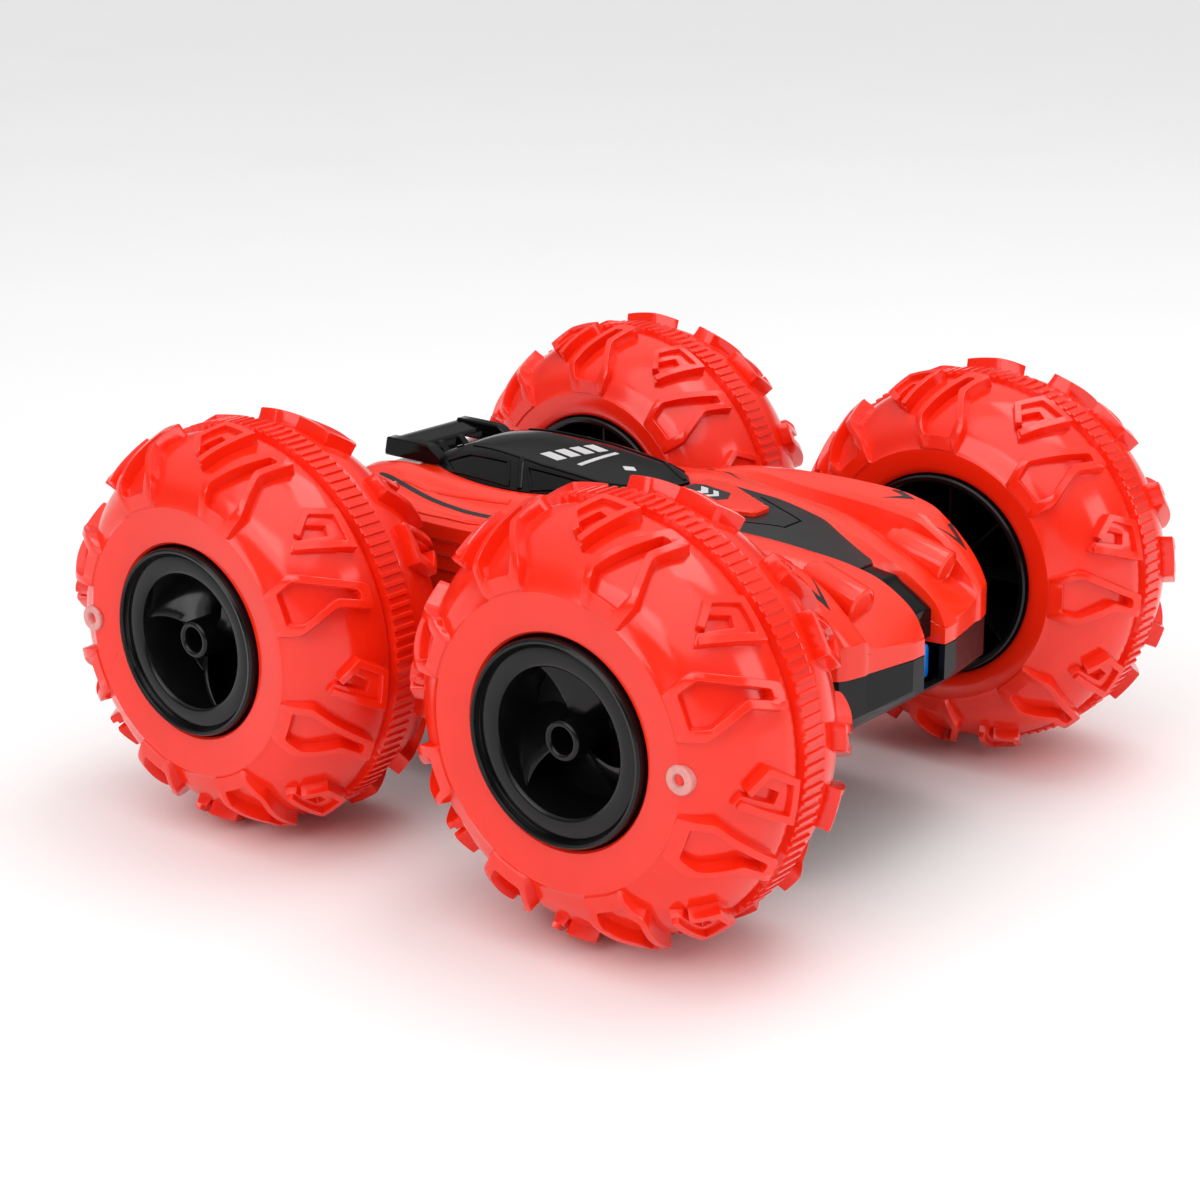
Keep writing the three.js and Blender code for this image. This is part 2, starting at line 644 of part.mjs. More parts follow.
addGearTrain(body, 'left', 1);
addGearTrain(body, 'right', -1);

// ---- Wheels ---------------------------------------------------------------------------------------

// The section of half a tyre from the hole to the belt, raised where a lug crosses it.
function halfSection(raised) {
  const lugRadius = WHEEL_RADIUS / Math.cos(LUG_HALF_ANGLE);
  return raised
    ? [[RIDGE_RADIUS, LUG_RIDGE_OFFSET], [CHEEK_RADIUS + 3.6, CHEEK_OFFSET + 2.6],
      [lugRadius, SHOULDER_OFFSET + 1], [lugRadius - 1.6, BELT_HALF_WIDTH + 0.6]]
    : [[RIDGE_RADIUS, RIDGE_OFFSET], [CHEEK_RADIUS, CHEEK_OFFSET],
      [SHOULDER_RADIUS, SHOULDER_OFFSET], [GROOVE_RADIUS, BELT_HALF_WIDTH + 0.6]];
}

function tyreSection(raisedOutside, raisedInside) {
  const outside = halfSection(raisedOutside);
  const inside = halfSection(raisedInside).map(([r, w]) => [r, -w]).reverse();
  return [
    [OUTER_HOLE_RADIUS, HOLE_OFFSET], ...outside, [BELT_RADIUS, BELT_HALF_WIDTH],
    [BELT_RADIUS, -BELT_HALF_WIDTH], ...inside, [INNER_HOLE_RADIUS, -HOLE_OFFSET],
    [INNER_HOLE_RADIUS, HUB_STEP_OFFSET - 1], [OUTER_HOLE_RADIUS, HUB_STEP_OFFSET + 2],
  ];
}

// Lugs stand on the outer half of the tyre between those of the inner half.
function tyreSolid() {
  const loops = [];
  const pitch = 2 * Math.PI / LUG_PITCHES;
  for (let i = 0; i < 2 * LUG_PITCHES; i += 1) {
    const outside = i % 2 === 1;
    for (const edge of [-1, 1]) {
      const angle = i * pitch / 2 + edge * LUG_HALF_ANGLE;
      const section = tyreSection(outside, !outside);
      loops.push(section.map(([r, w]) => new THREE.Vector3(r * Math.cos(angle), w, r * Math.sin(angle))));
    }
  }
  const cavity = turned([
    [OUTER_HOLE_RADIUS + TYRE_WALL, HOLE_OFFSET - 2], [RIDGE_RADIUS, RIDGE_OFFSET - 2.4],
    [CHEEK_RADIUS - 2.2, CHEEK_OFFSET - 2], [SHOULDER_RADIUS - 2, 0],
    [CHEEK_RADIUS - 2.2, -CHEEK_OFFSET + 2], [RIDGE_RADIUS, -RIDGE_OFFSET + 2.4],
    [INNER_HOLE_RADIUS + TYRE_WALL, -HOLE_OFFSET + 2], [OUTER_HOLE_RADIUS + TYRE_WALL, HOLE_OFFSET - 2],
  ], 16);
  const valveHole = barY(VALVE_RADIUS + GAP, RIDGE_OFFSET - 6, RIDGE_OFFSET + 2, RIDGE_RADIUS, 0, 10);
  return cut(solid(ringSkin(loops)), solid(cavity), valveHole);
}

function hubSolid() {
  const profile = [
    [AXLE_BORE, HUB_INNER_OFFSET + 1], [BOSS_RADIUS + 1, HUB_INNER_OFFSET + 1],
    [BOSS_RADIUS + 1, HUB_RECESS_OFFSET - HUB_WEB],
    [HUB_RECESS_RADIUS + HUB_WEB, HUB_RECESS_OFFSET - HUB_WEB],
    [HUB_INNER_RADIUS - HUB_WEB, HUB_STEP_OFFSET - 2], [HUB_INNER_RADIUS - HUB_WEB, HUB_INNER_OFFSET],
    [HUB_INNER_RADIUS, HUB_INNER_OFFSET], [HUB_INNER_RADIUS, HUB_STEP_OFFSET - 1.5],
    [HUB_LIP_RADIUS, HUB_STEP_OFFSET + 2], [HUB_LIP_RADIUS, HUB_LIP_OFFSET],
    [HUB_FACE_RADIUS, HUB_LIP_OFFSET], [HUB_FACE_RADIUS, HUB_FACE_OFFSET],
    [HUB_RECESS_RADIUS, HUB_FACE_OFFSET], [HUB_RECESS_RADIUS, HUB_RECESS_OFFSET],
    [BOSS_RADIUS, HUB_RECESS_OFFSET], [BOSS_RADIUS, BOSS_OFFSET], [BOSS_BORE, BOSS_OFFSET],
    [BOSS_BORE, SCREW_SEAT_OFFSET], [AXLE_BORE, SCREW_SEAT_OFFSET],
  ];
  profile.push(profile[0]);
  const blades = [0, 1, 2].map((i) => {
    const blade = new THREE.BoxGeometry(14.4, 1.6, 11).rotateX(0.7);
    blade.translate((BOSS_RADIUS + HUB_RECESS_RADIUS) / 2, HUB_RECESS_OFFSET + 4.2, 0);
    return solid(blade.rotateY(i * 2 * Math.PI / 3));
  });
  return join(solid(turned(profile, 16)), ...blades);
}

const tyreShape = tyreSolid();
const hubShape = hubSolid();

function addWheel(end, way, label, side) {
  const wheel = new THREE.Group();
  wheel.position.set(way * AXLE_X, side * WHEEL_Y, AXLE_Z);
  // The valve points forward on the front wheels and backward on the rear ones.
  wheel.rotation.z = side > 0 ? 0 : Math.PI;
  car.add(wheel);
  const valveX = way * side * RIDGE_RADIUS;
  const turn = valveX > 0 ? 0 : 180;
  addPart(wheel, `${end}_${label}_tyre`, redVinyl, tyreShape.rotate([0, turn, 0]));
  addPart(wheel, `${end}_${label}_hub`, blackSatin, hubShape.rotate([0, turn, 0]));
  const plug = join(
    barY(VALVE_RADIUS, RIDGE_OFFSET - 3, RIDGE_OFFSET + 0.6, valveX, 0, 10),
    barY(2.4, RIDGE_OFFSET - 5, RIDGE_OFFSET - 2, valveX, 0, 8),
  );
  const plugHole = barY(1.3, RIDGE_OFFSET - 3.5, RIDGE_OFFSET + 2, valveX, 0, 6);
  addPart(wheel, `${end}_${label}_valve_plug`, clearVinyl, cut(plug, plugHole));
  const axleInner = GEAR_PLANE - 1.2 - WHEEL_Y;
  const axleEnd = SCREW_SEAT_OFFSET - 1;
  addPart(wheel, `${end}_${label}_axle`, steel, cut(
    barY(AXLE_RADIUS, axleInner, axleEnd), barY(1.2, axleEnd - 6, axleEnd + 1, 0, 0, 8),
  ));
  addPart(wheel, `${end}_${label}_wheel_screw`, steel, join(
    barY(2.8, SCREW_SEAT_OFFSET + GAP, SCREW_SEAT_OFFSET + 1.9, 0, 0, 8),
    barY(0.9, axleEnd - 5, SCREW_SEAT_OFFSET + 0.6, 0, 0, 6),
  ));
}

for (const [end, way] of [['front', 1], ['rear', -1]]) {
  for (const [label, side] of [['left', 1], ['right', -1]]) {
    addWheel(end, way, label, side);
  }
}

export default car;
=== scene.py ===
import json
import math

import bmesh
import bpy
import numpy as np
from mathutils import Matrix, Vector
from mathutils.bvhtree import BVHTree
from mathutils.geometry import delaunay_2d_cdt


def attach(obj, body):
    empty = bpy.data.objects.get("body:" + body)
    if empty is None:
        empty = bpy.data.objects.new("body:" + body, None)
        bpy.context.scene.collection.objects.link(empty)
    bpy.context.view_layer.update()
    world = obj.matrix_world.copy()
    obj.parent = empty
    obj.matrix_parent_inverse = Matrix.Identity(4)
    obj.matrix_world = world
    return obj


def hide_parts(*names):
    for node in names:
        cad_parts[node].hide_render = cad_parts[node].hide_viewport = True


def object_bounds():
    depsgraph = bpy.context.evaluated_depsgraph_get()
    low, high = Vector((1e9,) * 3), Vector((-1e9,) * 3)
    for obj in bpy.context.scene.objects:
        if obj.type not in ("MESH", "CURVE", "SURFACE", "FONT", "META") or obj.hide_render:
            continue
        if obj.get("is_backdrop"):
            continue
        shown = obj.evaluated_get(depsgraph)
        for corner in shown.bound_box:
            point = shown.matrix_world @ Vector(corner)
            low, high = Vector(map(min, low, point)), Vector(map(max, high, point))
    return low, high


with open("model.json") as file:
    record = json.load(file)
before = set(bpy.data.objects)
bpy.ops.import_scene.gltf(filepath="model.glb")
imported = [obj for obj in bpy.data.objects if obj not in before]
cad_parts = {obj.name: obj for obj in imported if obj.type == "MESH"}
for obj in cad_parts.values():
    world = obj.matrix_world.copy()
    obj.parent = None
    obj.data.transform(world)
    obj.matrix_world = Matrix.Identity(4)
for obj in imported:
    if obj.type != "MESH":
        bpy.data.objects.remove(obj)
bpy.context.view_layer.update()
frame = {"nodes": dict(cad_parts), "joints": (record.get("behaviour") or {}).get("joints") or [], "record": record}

# Shapes are written in millimetres. Z counts from the axle plane, which is also the shells' parting
# plane, and the wheels are drawn round their own middles. X is forward, Y left.
MM = 0.001
PIVOT = {j["name"]: Vector(j["pos_m"]) / MM for j in frame["joints"] if "pos_m" in j}
AXLE = PIVOT["front_left_wheel_spin"]
WHEELS = [(end, way, label, side) for end, way in (("front", 1), ("rear", -1))
          for label, side in (("left", 1), ("right", -1))]

# ---- Materials -----------------------------------------------------------------------------------

NOISE_LOW, NOISE_HIGH = 0.3, 0.7
GRAIN_SCALE = 900
GRAIN_HEIGHT = 0.00006
ROUGH_SPREAD = 0.08


def moulded(name, colour, rough, *, coat=0.0, mottle=0.06, mottle_scale=45, grain=0.15, specular=0.5,
            subsurface=0.0, metallic=0.0, emission=0.0):
    """Moulded plastic: faint flow mottling, uneven gloss and a fine grain."""
    mat = bpy.data.materials.new(name)
    mat.use_nodes = True
    nodes, links = mat.node_tree.nodes, mat.node_tree.links
    shader = nodes["Principled BSDF"]
    place = nodes.new("ShaderNodeTexCoord")

    def noise(scale, detail, roughness=0.5):
        tex = nodes.new("ShaderNodeTexNoise")
        tex.inputs["Scale"].default_value = scale
        tex.inputs["Detail"].default_value = detail
        tex.inputs["Roughness"].default_value = roughness
        links.new(place.outputs["Object"], tex.inputs["Vector"])
        return tex.outputs["Fac"]

    ramp = nodes.new("ShaderNodeValToRGB")
    low, high = ramp.color_ramp.elements
    low.position, high.position = NOISE_LOW, NOISE_HIGH
    low.color = [c * (1 - mottle) for c in colour] + [1]
    high.color = [min(1, c * (1 + mottle)) for c in colour] + [1]
    links.new(noise(mottle_scale, 3), ramp.inputs["Fac"])
    links.new(ramp.outputs["Color"], shader.inputs["Base Color"])

    gloss = nodes.new("ShaderNodeMapRange")
    gloss.inputs["From Min"].default_value = NOISE_LOW
    gloss.inputs["From Max"].default_value = NOISE_HIGH
    gloss.inputs["To Min"].default_value = max(0.02, rough - ROUGH_SPREAD / 2)
    gloss.inputs["To Max"].default_value = rough + ROUGH_SPREAD / 2
    links.new(noise(mottle_scale * 2.7, 4, 0.6), gloss.inputs["Value"])
    links.new(gloss.outputs["Result"], shader.inputs["Roughness"])

    bump = nodes.new("ShaderNodeBump")
    bump.inputs["Strength"].default_value = grain
    bump.inputs["Distance"].default_value = GRAIN_HEIGHT
    links.new(noise(GRAIN_SCALE, 2), bump.inputs["Height"])
    links.new(bump.outputs["Normal"], shader.inputs["Normal"])

    shader.inputs["Metallic"].default_value = metallic
    shader.inputs["Specular IOR Level"].default_value = specular
    shader.inputs["Coat Weight"].default_value = coat
    shader.inputs["Coat Roughness"].default_value = 0.06
    if subsurface:
        shader.inputs["Subsurface Weight"].default_value = subsurface
        shader.inputs["Subsurface Radius"].default_value = (0.004, 0.001, 0.0006)
        shader.inputs["Subsurface Scale"].default_value = 1.0
    # emission makes the surface give off a little light in its own colour: a painted glow
    if emission:
        shader.inputs["Emission Color"].default_value = list(colour) + [1]
        shader.inputs["Emission Strength"].default_value = emission
    return mat


LOOKS = {
    "red_vinyl": ((0.89, 0.020, 0.004), 0.15, dict(mottle=0.04, mottle_scale=60, grain=0.10,
                                                   specular=0.55)),
    "red_shell": ((0.90, 0.026, 0.005), 0.20, dict(coat=0.1, mottle=0.03)),
    "black_shell": ((0.005, 0.005, 0.006), 0.33, dict(grain=0.35, mottle=0.15, specular=0.22)),
    "black_panel": ((0.006, 0.006, 0.007), 0.36, dict(grain=0.25, mottle=0.15, specular=0.45)),
    "black_gloss": ((0.002, 0.002, 0.0025), 0.08, dict(grain=0.05, mottle=0.2, specular=0.14)),
    "black_hub": ((0.003, 0.003, 0.0035), 0.16, dict(grain=0.12, mottle=0.2, specular=0.3)),
    # The lens has a faint painted glow of its own; it is no lamp.
    "blue_lens": ((0.001, 0.13, 0.52), 0.08, dict(coat=0.2, grain=0.03, emission=0.05)),
    "valve_vinyl": ((0.70, 0.30, 0.28), 0.28, dict(mottle=0.08, mottle_scale=300, subsurface=0.35)),
    "ink_black": ((0.010, 0.010, 0.012), 0.30, dict(mottle=0.2, mottle_scale=200)),
    "ink_white": ((0.62, 0.62, 0.63), 0.34, dict(mottle=0.06, mottle_scale=200)),
    "white_nylon": ((0.78, 0.77, 0.72), 0.45, dict(mottle=0.04, subsurface=0.1)),
    "grey_plastic": ((0.085, 0.09, 0.095), 0.48, dict(grain=0.4)),
    "steel": ((0.52, 0.53, 0.55), 0.28, dict(metallic=1.0, mottle=0.08, mottle_scale=400)),
    "motor_can": ((0.46, 0.47, 0.49), 0.33, dict(metallic=1.0, mottle=0.08, mottle_scale=300)),
    "brass": ((0.66, 0.47, 0.17), 0.25, dict(metallic=1.0, mottle=0.08, mottle_scale=400)),
    "green_board": ((0.018, 0.20, 0.065), 0.35, dict(mottle=0.25, mottle_scale=500)),
    "battery_sleeve": ((0.028, 0.11, 0.42), 0.22, dict(mottle=0.06)),
    "clear_epoxy": ((0.80, 0.86, 0.92), 0.08, dict(mottle=0.03, subsurface=0.3)),
}
LOOK = {name: moulded(name, colour, rough, **more) for name, (colour, rough, more) in LOOKS.items()}
for row in frame["record"]["subparts"]:
    mesh = frame["nodes"][row["node"]].data
    mesh.materials.clear()
    mesh.materials.append(LOOK[row["material_slot"]])

# ---- Mesh helpers ---------------------------------------------------------------------------------

class Shape:
    """Points and faces, gathered shell by shell."""

    def __init__(self):
        self.points, self.faces = [], []

    def add(self, points, faces):
        base = len(self.points)
        self.points += [tuple(map(float, p)) for p in points]
        self.faces += [[base + i for i in f] for f in faces]
        return self

    def loops(self, loops, closed=False):
        """Skins equal rings of points one to the next. closed joins the last ring to the first, and
        otherwise the ends are capped."""
        n = len(loops[0])
        faces = []
        for k in range(len(loops) if closed else len(loops) - 1):
            a, b = k * n, (k + 1) % len(loops) * n
            faces += [[a + i, a + (i + 1) % n, b + (i + 1) % n, b + i] for i in range(n)]
        if not closed:
            faces.append(list(range(n))[::-1])
            faces.append([(len(loops) - 1) * n + i for i in range(n)])
        return self.add([p for loop in loops for p in loop], faces)

    def mesh(self, name, smooth=32, raise_by=0.0):
        data = bpy.data.meshes.new(name)
        points = [(x * MM, y * MM, (z + raise_by) * MM) for x, y, z in self.points]
        data.from_pydata(points, [], self.faces)
        tidy = bmesh.new()
        tidy.from_mesh(data)
        bmesh.ops.recalc_face_normals(tidy, faces=tidy.faces)
        tidy.to_mesh(data)
        tidy.free()
        finish_shading(data, smooth)
        return data


def finish_shading(data, smooth):
    """Smooth shading, with a sharp edge wherever two faces turn by more than smooth degrees."""
    data.shade_smooth()
    data.set_sharp_from_angle(angle=math.radians(smooth))
    data.update()


def hand_over(obj, body, replaces=()):
    """Hangs a piece on the body that it rides on and hides the CAD nodes that it stands for."""
    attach(obj, body)
    if replaces:
        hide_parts(*replaces)


def place(name, data, look, body, slot=None, replaces=(), at=(0, 0, 0), turn_y=0.0, turn_z=0.0):
    """Makes a mesh a piece of the scene."""
    obj = bpy.data.objects.new(name, data)
    bpy.context.scene.collection.objects.link(obj)
    if not data.materials:
        data.materials.append(LOOK[look])
    spin = Matrix.Rotation(turn_z, 4, "Z") @ Matrix.Rotation(turn_y, 4, "Y")
    obj.matrix_world = Matrix.Translation(Vector(at) * MM) @ spin
    hand_over(obj, body, replaces)
    return obj


def baked(obj):
    """The object's mesh with its modifiers applied, in place of its own."""
    graph = bpy.context.evaluated_depsgraph_get()
    final = bpy.data.meshes.new_from_object(obj.evaluated_get(graph))
    obj.modifiers.clear()
    obj.data = final
    return final


def spline(table, count):
    """Points along a Catmull-Rom curve through a table of rows, count to each span."""
    rows = [np.array(r, float) for r in table]
    rows = [2 * rows[0] - rows[1]] + rows + [2 * rows[-1] - rows[-2]]
    out = []
    for k in range(1, len(rows) - 2):
        a, b, c, d = rows[k - 1:k + 3]
        for i in range(count):
            t = i / count
            out.append(0.5 * (2 * b + (c - a) * t + (2 * a - 5 * b + 4 * c - d) * t * t
                              + (3 * b - a - 3 * c + d) * t ** 3))
    return out + [rows[-2]]


def lathe(profile, sides):
    """Sections about the wheel's axle. A profile row is (radius, outward offset); outward is -Y."""
    return [[(r * math.cos(a), -w, r * math.sin(a)) for r, w in profile]
            for a in (2 * math.pi * i / sides for i in range(sides))]


def cut(obj, shape):
    """Takes a shape away from an object."""
    cutter = bpy.data.objects.new("cutter", shape.mesh("cutter", raise_by=AXLE.z))
    bpy.context.scene.collection.objects.link(cutter)
    mod = obj.modifiers.new("cut", "BOOLEAN")
    mod.operation = "DIFFERENCE"
    mod.solver = "EXACT"
    mod.object = cutter
    baked(obj)
    bpy.data.objects.remove(cutter)


# ---- Plane outlines ------------------------------------------------------------------------------

def offset(outline, inward):
    """An outline, run anticlockwise, with each edge moved inward by its own distance."""
    n = len(outline)
    out = []
    for i in range(n):
        p0, p1, p2 = (np.array(outline[j % n], float) for j in (i - 1, i, i + 1))
        e1, e2 = (p1 - p0) / np.linalg.norm(p1 - p0), (p2 - p1) / np.linalg.norm(p2 - p1)
        normals = np.array([[-e1[1], e1[0]], [-e2[1], e2[0]]])
        if abs(np.linalg.det(normals)) < 1e-3:
            out.append(p1 + normals[0] * inward[i - 1])
        else:
            out.append(p1 + np.linalg.solve(normals, [inward[i - 1], inward[i]]))
    return out


def rounded(outline, counts, corner):
    """An outline with its corners cut round and its edges divided into counts."""
    n = len(outline)
    lengths = [np.linalg.norm(outline[(i + 1) % n] - outline[i]) for i in range(n)]
    cut = [min(corner, 0.42 * lengths[i - 1], 0.42 * lengths[i]) for i in range(n)]
    way = [(outline[(i + 1) % n] - outline[i]) / lengths[i] for i in range(n)]
    out = []
    for i in range(n):
        before, after = outline[i] - way[i - 1] * cut[i], outline[i] + way[i] * cut[i]
        out += [before, 0.25 * before + 0.5 * outline[i] + 0.25 * after, after]
        end = outline[(i + 1) % n] - way[i] * cut[(i + 1) % n]
        out += [after + (end - after) * k / counts[i] for k in range(1, counts[i])]
    return out


def divisions(outline, step):
    """How many parts about step long each edge of an outline takes."""
    n = len(outline)
    return [max(1, round(np.linalg.norm(np.subtract(outline[(i + 1) % n], outline[i])) / step))
            for i in range(n)]


def stroke(path, half):
    """The outline of a line drawn with a flat pen, anticlockwise."""
    path = [np.array(p, float) for p in path]

    def side(points):
        out = []
        for i, p in enumerate(points):
            ways = []
            if i > 0:
                ways.append((p - points[i - 1]) / np.linalg.norm(p - points[i - 1]))
            if i < len(points) - 1:
                ways.append((points[i + 1] - p) / np.linalg.norm(points[i + 1] - p))
            normal = sum(np.array([w[1], -w[0]]) for w in ways)
            normal /= np.linalg.norm(normal)
            along = max(0.35, normal @ np.array([ways[0][1], -ways[0][0]]))
            out.append(p + normal * half / along)
        return out

    return side(path) + side(path[::-1])


def filled(outline):
    """Triangles that fill an outline, as indices into it."""
    points = [Vector((float(p[0]), float(p[1]))) for p in outline]
    found = delaunay_2d_cdt(points, [], [list(range(len(points)))], 1, 1e-6)
    if len(found[0]) != len(points):
        return [list(range(len(points)))]
    back = [sources[0] for sources in found[3]]
    return [[back[i] for i in face] for face in found[2]]


# ---- Tyre ----------------------------------------------------------------------------------------

LUGS = 8
PITCH = 2 * math.pi / LUGS
BELT_RIBS = 15 * LUGS
TYRE_SIDES = 144
# (radius, offset) of the lugs' tops and of the skin under them, at the same places along the wall.
TOPS = spline([(36.5, 27.45), (38.2, 27.9), (44.0, 26.6), (48.3, 23.8), (51.6, 20.0), (54.2, 15.2),
               (56.1, 10.6), (56.95, 7.4), (56.8, 5.6)], 6)
SKIN = spline([(36.5, 27.3), (37.8, 26.5), (42.4, 24.4), (46.0, 21.4), (48.9, 18.0), (51.3, 13.8),
               (52.7, 9.6), (53.1, 6.8), (53.0, 5.4)], 6)
ALONG = np.concatenate([[0], np.cumsum([np.linalg.norm(b - a) for a, b in zip(TOPS, TOPS[1:])])])


def on_tyre(points, lift, middle, side):
    """Points of the unrolled wall, (across, along), set on the tyre. lift is 0 on the skin and 1 on
    the lugs' tops. side is 1 on the half that faces out; the other half is it turned half round."""
    out = []
    for across, along in points:
        top = [np.interp(along, ALONG, [p[k] for p in TOPS]) for k in (0, 1)]
        skin = [np.interp(along, ALONG, [p[k] for p in SKIN]) for k in (0, 1)]
        if along < 0:
            top[0] += along
            skin[0] += along
        r, w = (skin[k] + (top[k] - skin[k]) * lift for k in (0, 1))
        a = middle + across / top[0]
        out.append((r * math.cos(a), -side * w, side * r * math.sin(a)))
    return out


BIG_LUG = [(5.4, 0.5), (8.8, 10.2), (0.2, 28.8), (-6.6, 28.8), (-3.2, 19.6), (-7.4, 8.6), (-5.7, 0.5)]
BIG_RIM = [2.1, 2.0, 2.9, 2.1, 2.0, 2.8, 4.2]
LUG_STEP, BLOCK_STEP = 2.4, 2.2
# A lug's section from foot to crest: (distance in from the outline, lift).
EDGE = [(-0.6, -0.5), (-0.42, 0.02), (-0.12, 0.55), (0.0, 0.9), (0.06, 0.975), (0.2, 1.0)]


def big_lug(shape, middle, side):
    """A raised rim round an open six-sided pocket that narrows towards the belt."""
    counts = divisions(BIG_LUG, LUG_STEP)
    loops = []
    for inset, lift in EDGE:
        ring = rounded(offset(BIG_LUG, [inset] * len(BIG_LUG)), counts, 1.1)
        loops.append(on_tyre(ring, lift, middle, side))
    for inset, lift in reversed(EDGE):
        ring = rounded(offset(BIG_LUG, [w - 0.9 * inset for w in BIG_RIM]), counts, 0.8)
        loops.append(on_tyre(ring, lift, middle, side))
    shape.loops(loops, closed=True)


def plateau(shape, outline, top, middle, side, corner):
    """A raised block on the wall with a filled top at a share of the lugs' height."""
    counts = divisions(outline, BLOCK_STEP)
    loops = []
    for inset, lift in EDGE:
        ring = rounded(offset(outline, [0.8 * inset] * len(outline)), counts, corner)
        loops.append((ring, lift if lift < 0 else lift * top))
    n = len(loops[0][0])
    points = [p for ring, lift in loops for p in on_tyre(ring, lift, middle, side)]
    faces = [[k * n + i, k * n + (i + 1) % n, (k + 1) * n + (i + 1) % n, (k + 1) * n + i]
             for k in range(len(loops) - 1) for i in range(n)]
    last = (len(loops) - 1) * n
    faces += [[last + i for i in f] for f in filled(loops[-1][0])]
    faces += [f[::-1] for f in filled(loops[0][0])]
    shape.add(points, faces)


# The small lug: a hooked rim round three sides, and a lower terrace inside it with a slot.
HOOK, UPPER_END, LOWER_END = (4.1, 18.8), (7.0, 22.2), (-1.6, 13.4)
NEAR_BELT = [(2.9, 30.2), (-8.6, 29.8)]
TERRACE = [UPPER_END, *NEAR_BELT, LOWER_END, (0.6, 15.6), (-2.5, 24.2), (0.3, 25.2), (3.4, 19.2)]
SMALL_RIM = 0.95
SMALL_LUG_TURN = math.radians(18.5)


def small_lug(shape, middle, side):
    rim = offset([HOOK, UPPER_END, *NEAR_BELT, LOWER_END], [SMALL_RIM] * 4 + [0.6])
    plateau(shape, TERRACE, 0.6, middle, side, corner=0.35)
    plateau(shape, stroke(rim, SMALL_RIM), 1.0, middle, side, corner=0.3)


def tyre_mesh():
    shape = Shape()
    hole_out = [(26.3, 24.6), (26.35, 25.5), (26.9, 26.1)]
    hole_in = [(29.4, 24.6), (29.5, 25.5), (30.1, 26.1)]
    face = [(30.5, 26.65), (33.5, 27.0), (35.4, 27.25)]
    groove = [(52.6, 4.7), (52.0, 4.2), (51.6, 3.0)]
    half = face + [tuple(p) for p in SKIN[::2]] + groove
    outer = [(26.3, -1.0)] + hole_out + half
    inner = [(r, -w) for r, w in [(29.4, 4.0)] + hole_in + [(31.5, 26.65)] + half[1:]]
    ring = outer + inner[::-1]
    shape.loops(lathe(ring, TYRE_SIDES), closed=True)

    belt = []
    for i in range(BELT_RIBS):
        for share, crown in ((0.0, 54.3), (0.54, 54.3), (0.62, 54.95), (0.92, 54.95)):
            a = 2 * math.pi * (i + share) / BELT_RIBS
            section = [(51.0, 4.4), (52.8, 4.0), (crown - 0.2, 3.7), (crown, 3.4), (crown, -3.4),
                       (crown - 0.2, -3.7), (52.8, -4.0), (51.0, -4.4)]
            belt.append([(r * math.cos(a), -w, r * math.sin(a)) for r, w in section])
    shape.loops(belt, closed=True)

    for k in range(LUGS):
        for middle, side in (((k + 0.5) * PITCH, 1), (k * PITCH, -1)):
            big_lug(shape, middle, side)
            small_lug(shape, middle + SMALL_LUG_TURN, side)
    return shape.mesh("tyre", smooth=30)


# ---- Hub and valve -------------------------------------------------------------------------------

HUB_PROFILE = [
    (2.2, -26.0), (5.6, -26.0), (6.1, -25.4), (6.2, 9.6), (20.2, 9.6), (26.9, -4.6), (26.9, -26.5),
    (27.4, -27.0), (28.4, -27.0), (28.9, -26.5), (28.9, -4.6), (25.6, -1.0), (25.6, 27.2), (25.3, 27.7),
    (24.9, 27.9), (24.3, 27.7), (24.05, 27.2), (23.95, 26.3), (23.7, 26.0), (23.4, 26.2), (23.0, 26.45),
    (19.4, 26.25), (18.7, 26.0), (18.25, 25.4), (17.9, 12.6), (17.4, 12.0), (5.9, 12.0), (5.3, 12.6),
    (5.2, 23.6), (4.95, 24.2), (4.5, 24.5), (3.9, 24.5), (3.45, 24.2), (3.25, 23.6), (3.25, 12.0),
    (2.2, 12.0),
]
BLADES, BLADE_TURN, BLADE_HALF = 3, math.radians(65), math.radians(33)
BLADE_RINGS, BLADE_IN, BLADE_OUT, BLADE_MIDDLE = 8, 4.6, 18.4, 17.0
# A blade's section, as (share of its half width, thickness).
BLADE_SECTION = [(-1.0, 0.15), (-0.9, 0.6), (-0.5, 0.7), (0.0, 0.7), (0.5, 0.7), (0.9, 0.6),
                 (1.0, 0.15), (0.9, -0.6), (0.5, -0.7), (0.0, -0.7), (-0.5, -0.7), (-0.9, -0.6)]
# Ribs behind the hub's face, from the boss to the ring, as (half width, inward offset) up the rib.
RIBS, RIB_IN, RIB_OUT = 8, 5.8, 27.2
RIB_SECTION = [(0.7, -9.0), (0.6, 19.0), (0.3, 19.4)]
VALVE_PROFILE = [(2.3, 22.6), (2.4, 25.4), (3.4, 25.6), (3.6, 26.4), (3.55, 27.7), (3.2, 28.05),
                 (2.3, 28.1), (1.7, 27.9), (1.35, 27.3), (1.2, 24.2)]
VALVE_ENDS = (22.6, 24.0)
VALVE_SIDES = 40
VALVE_RADIUS = 36.6


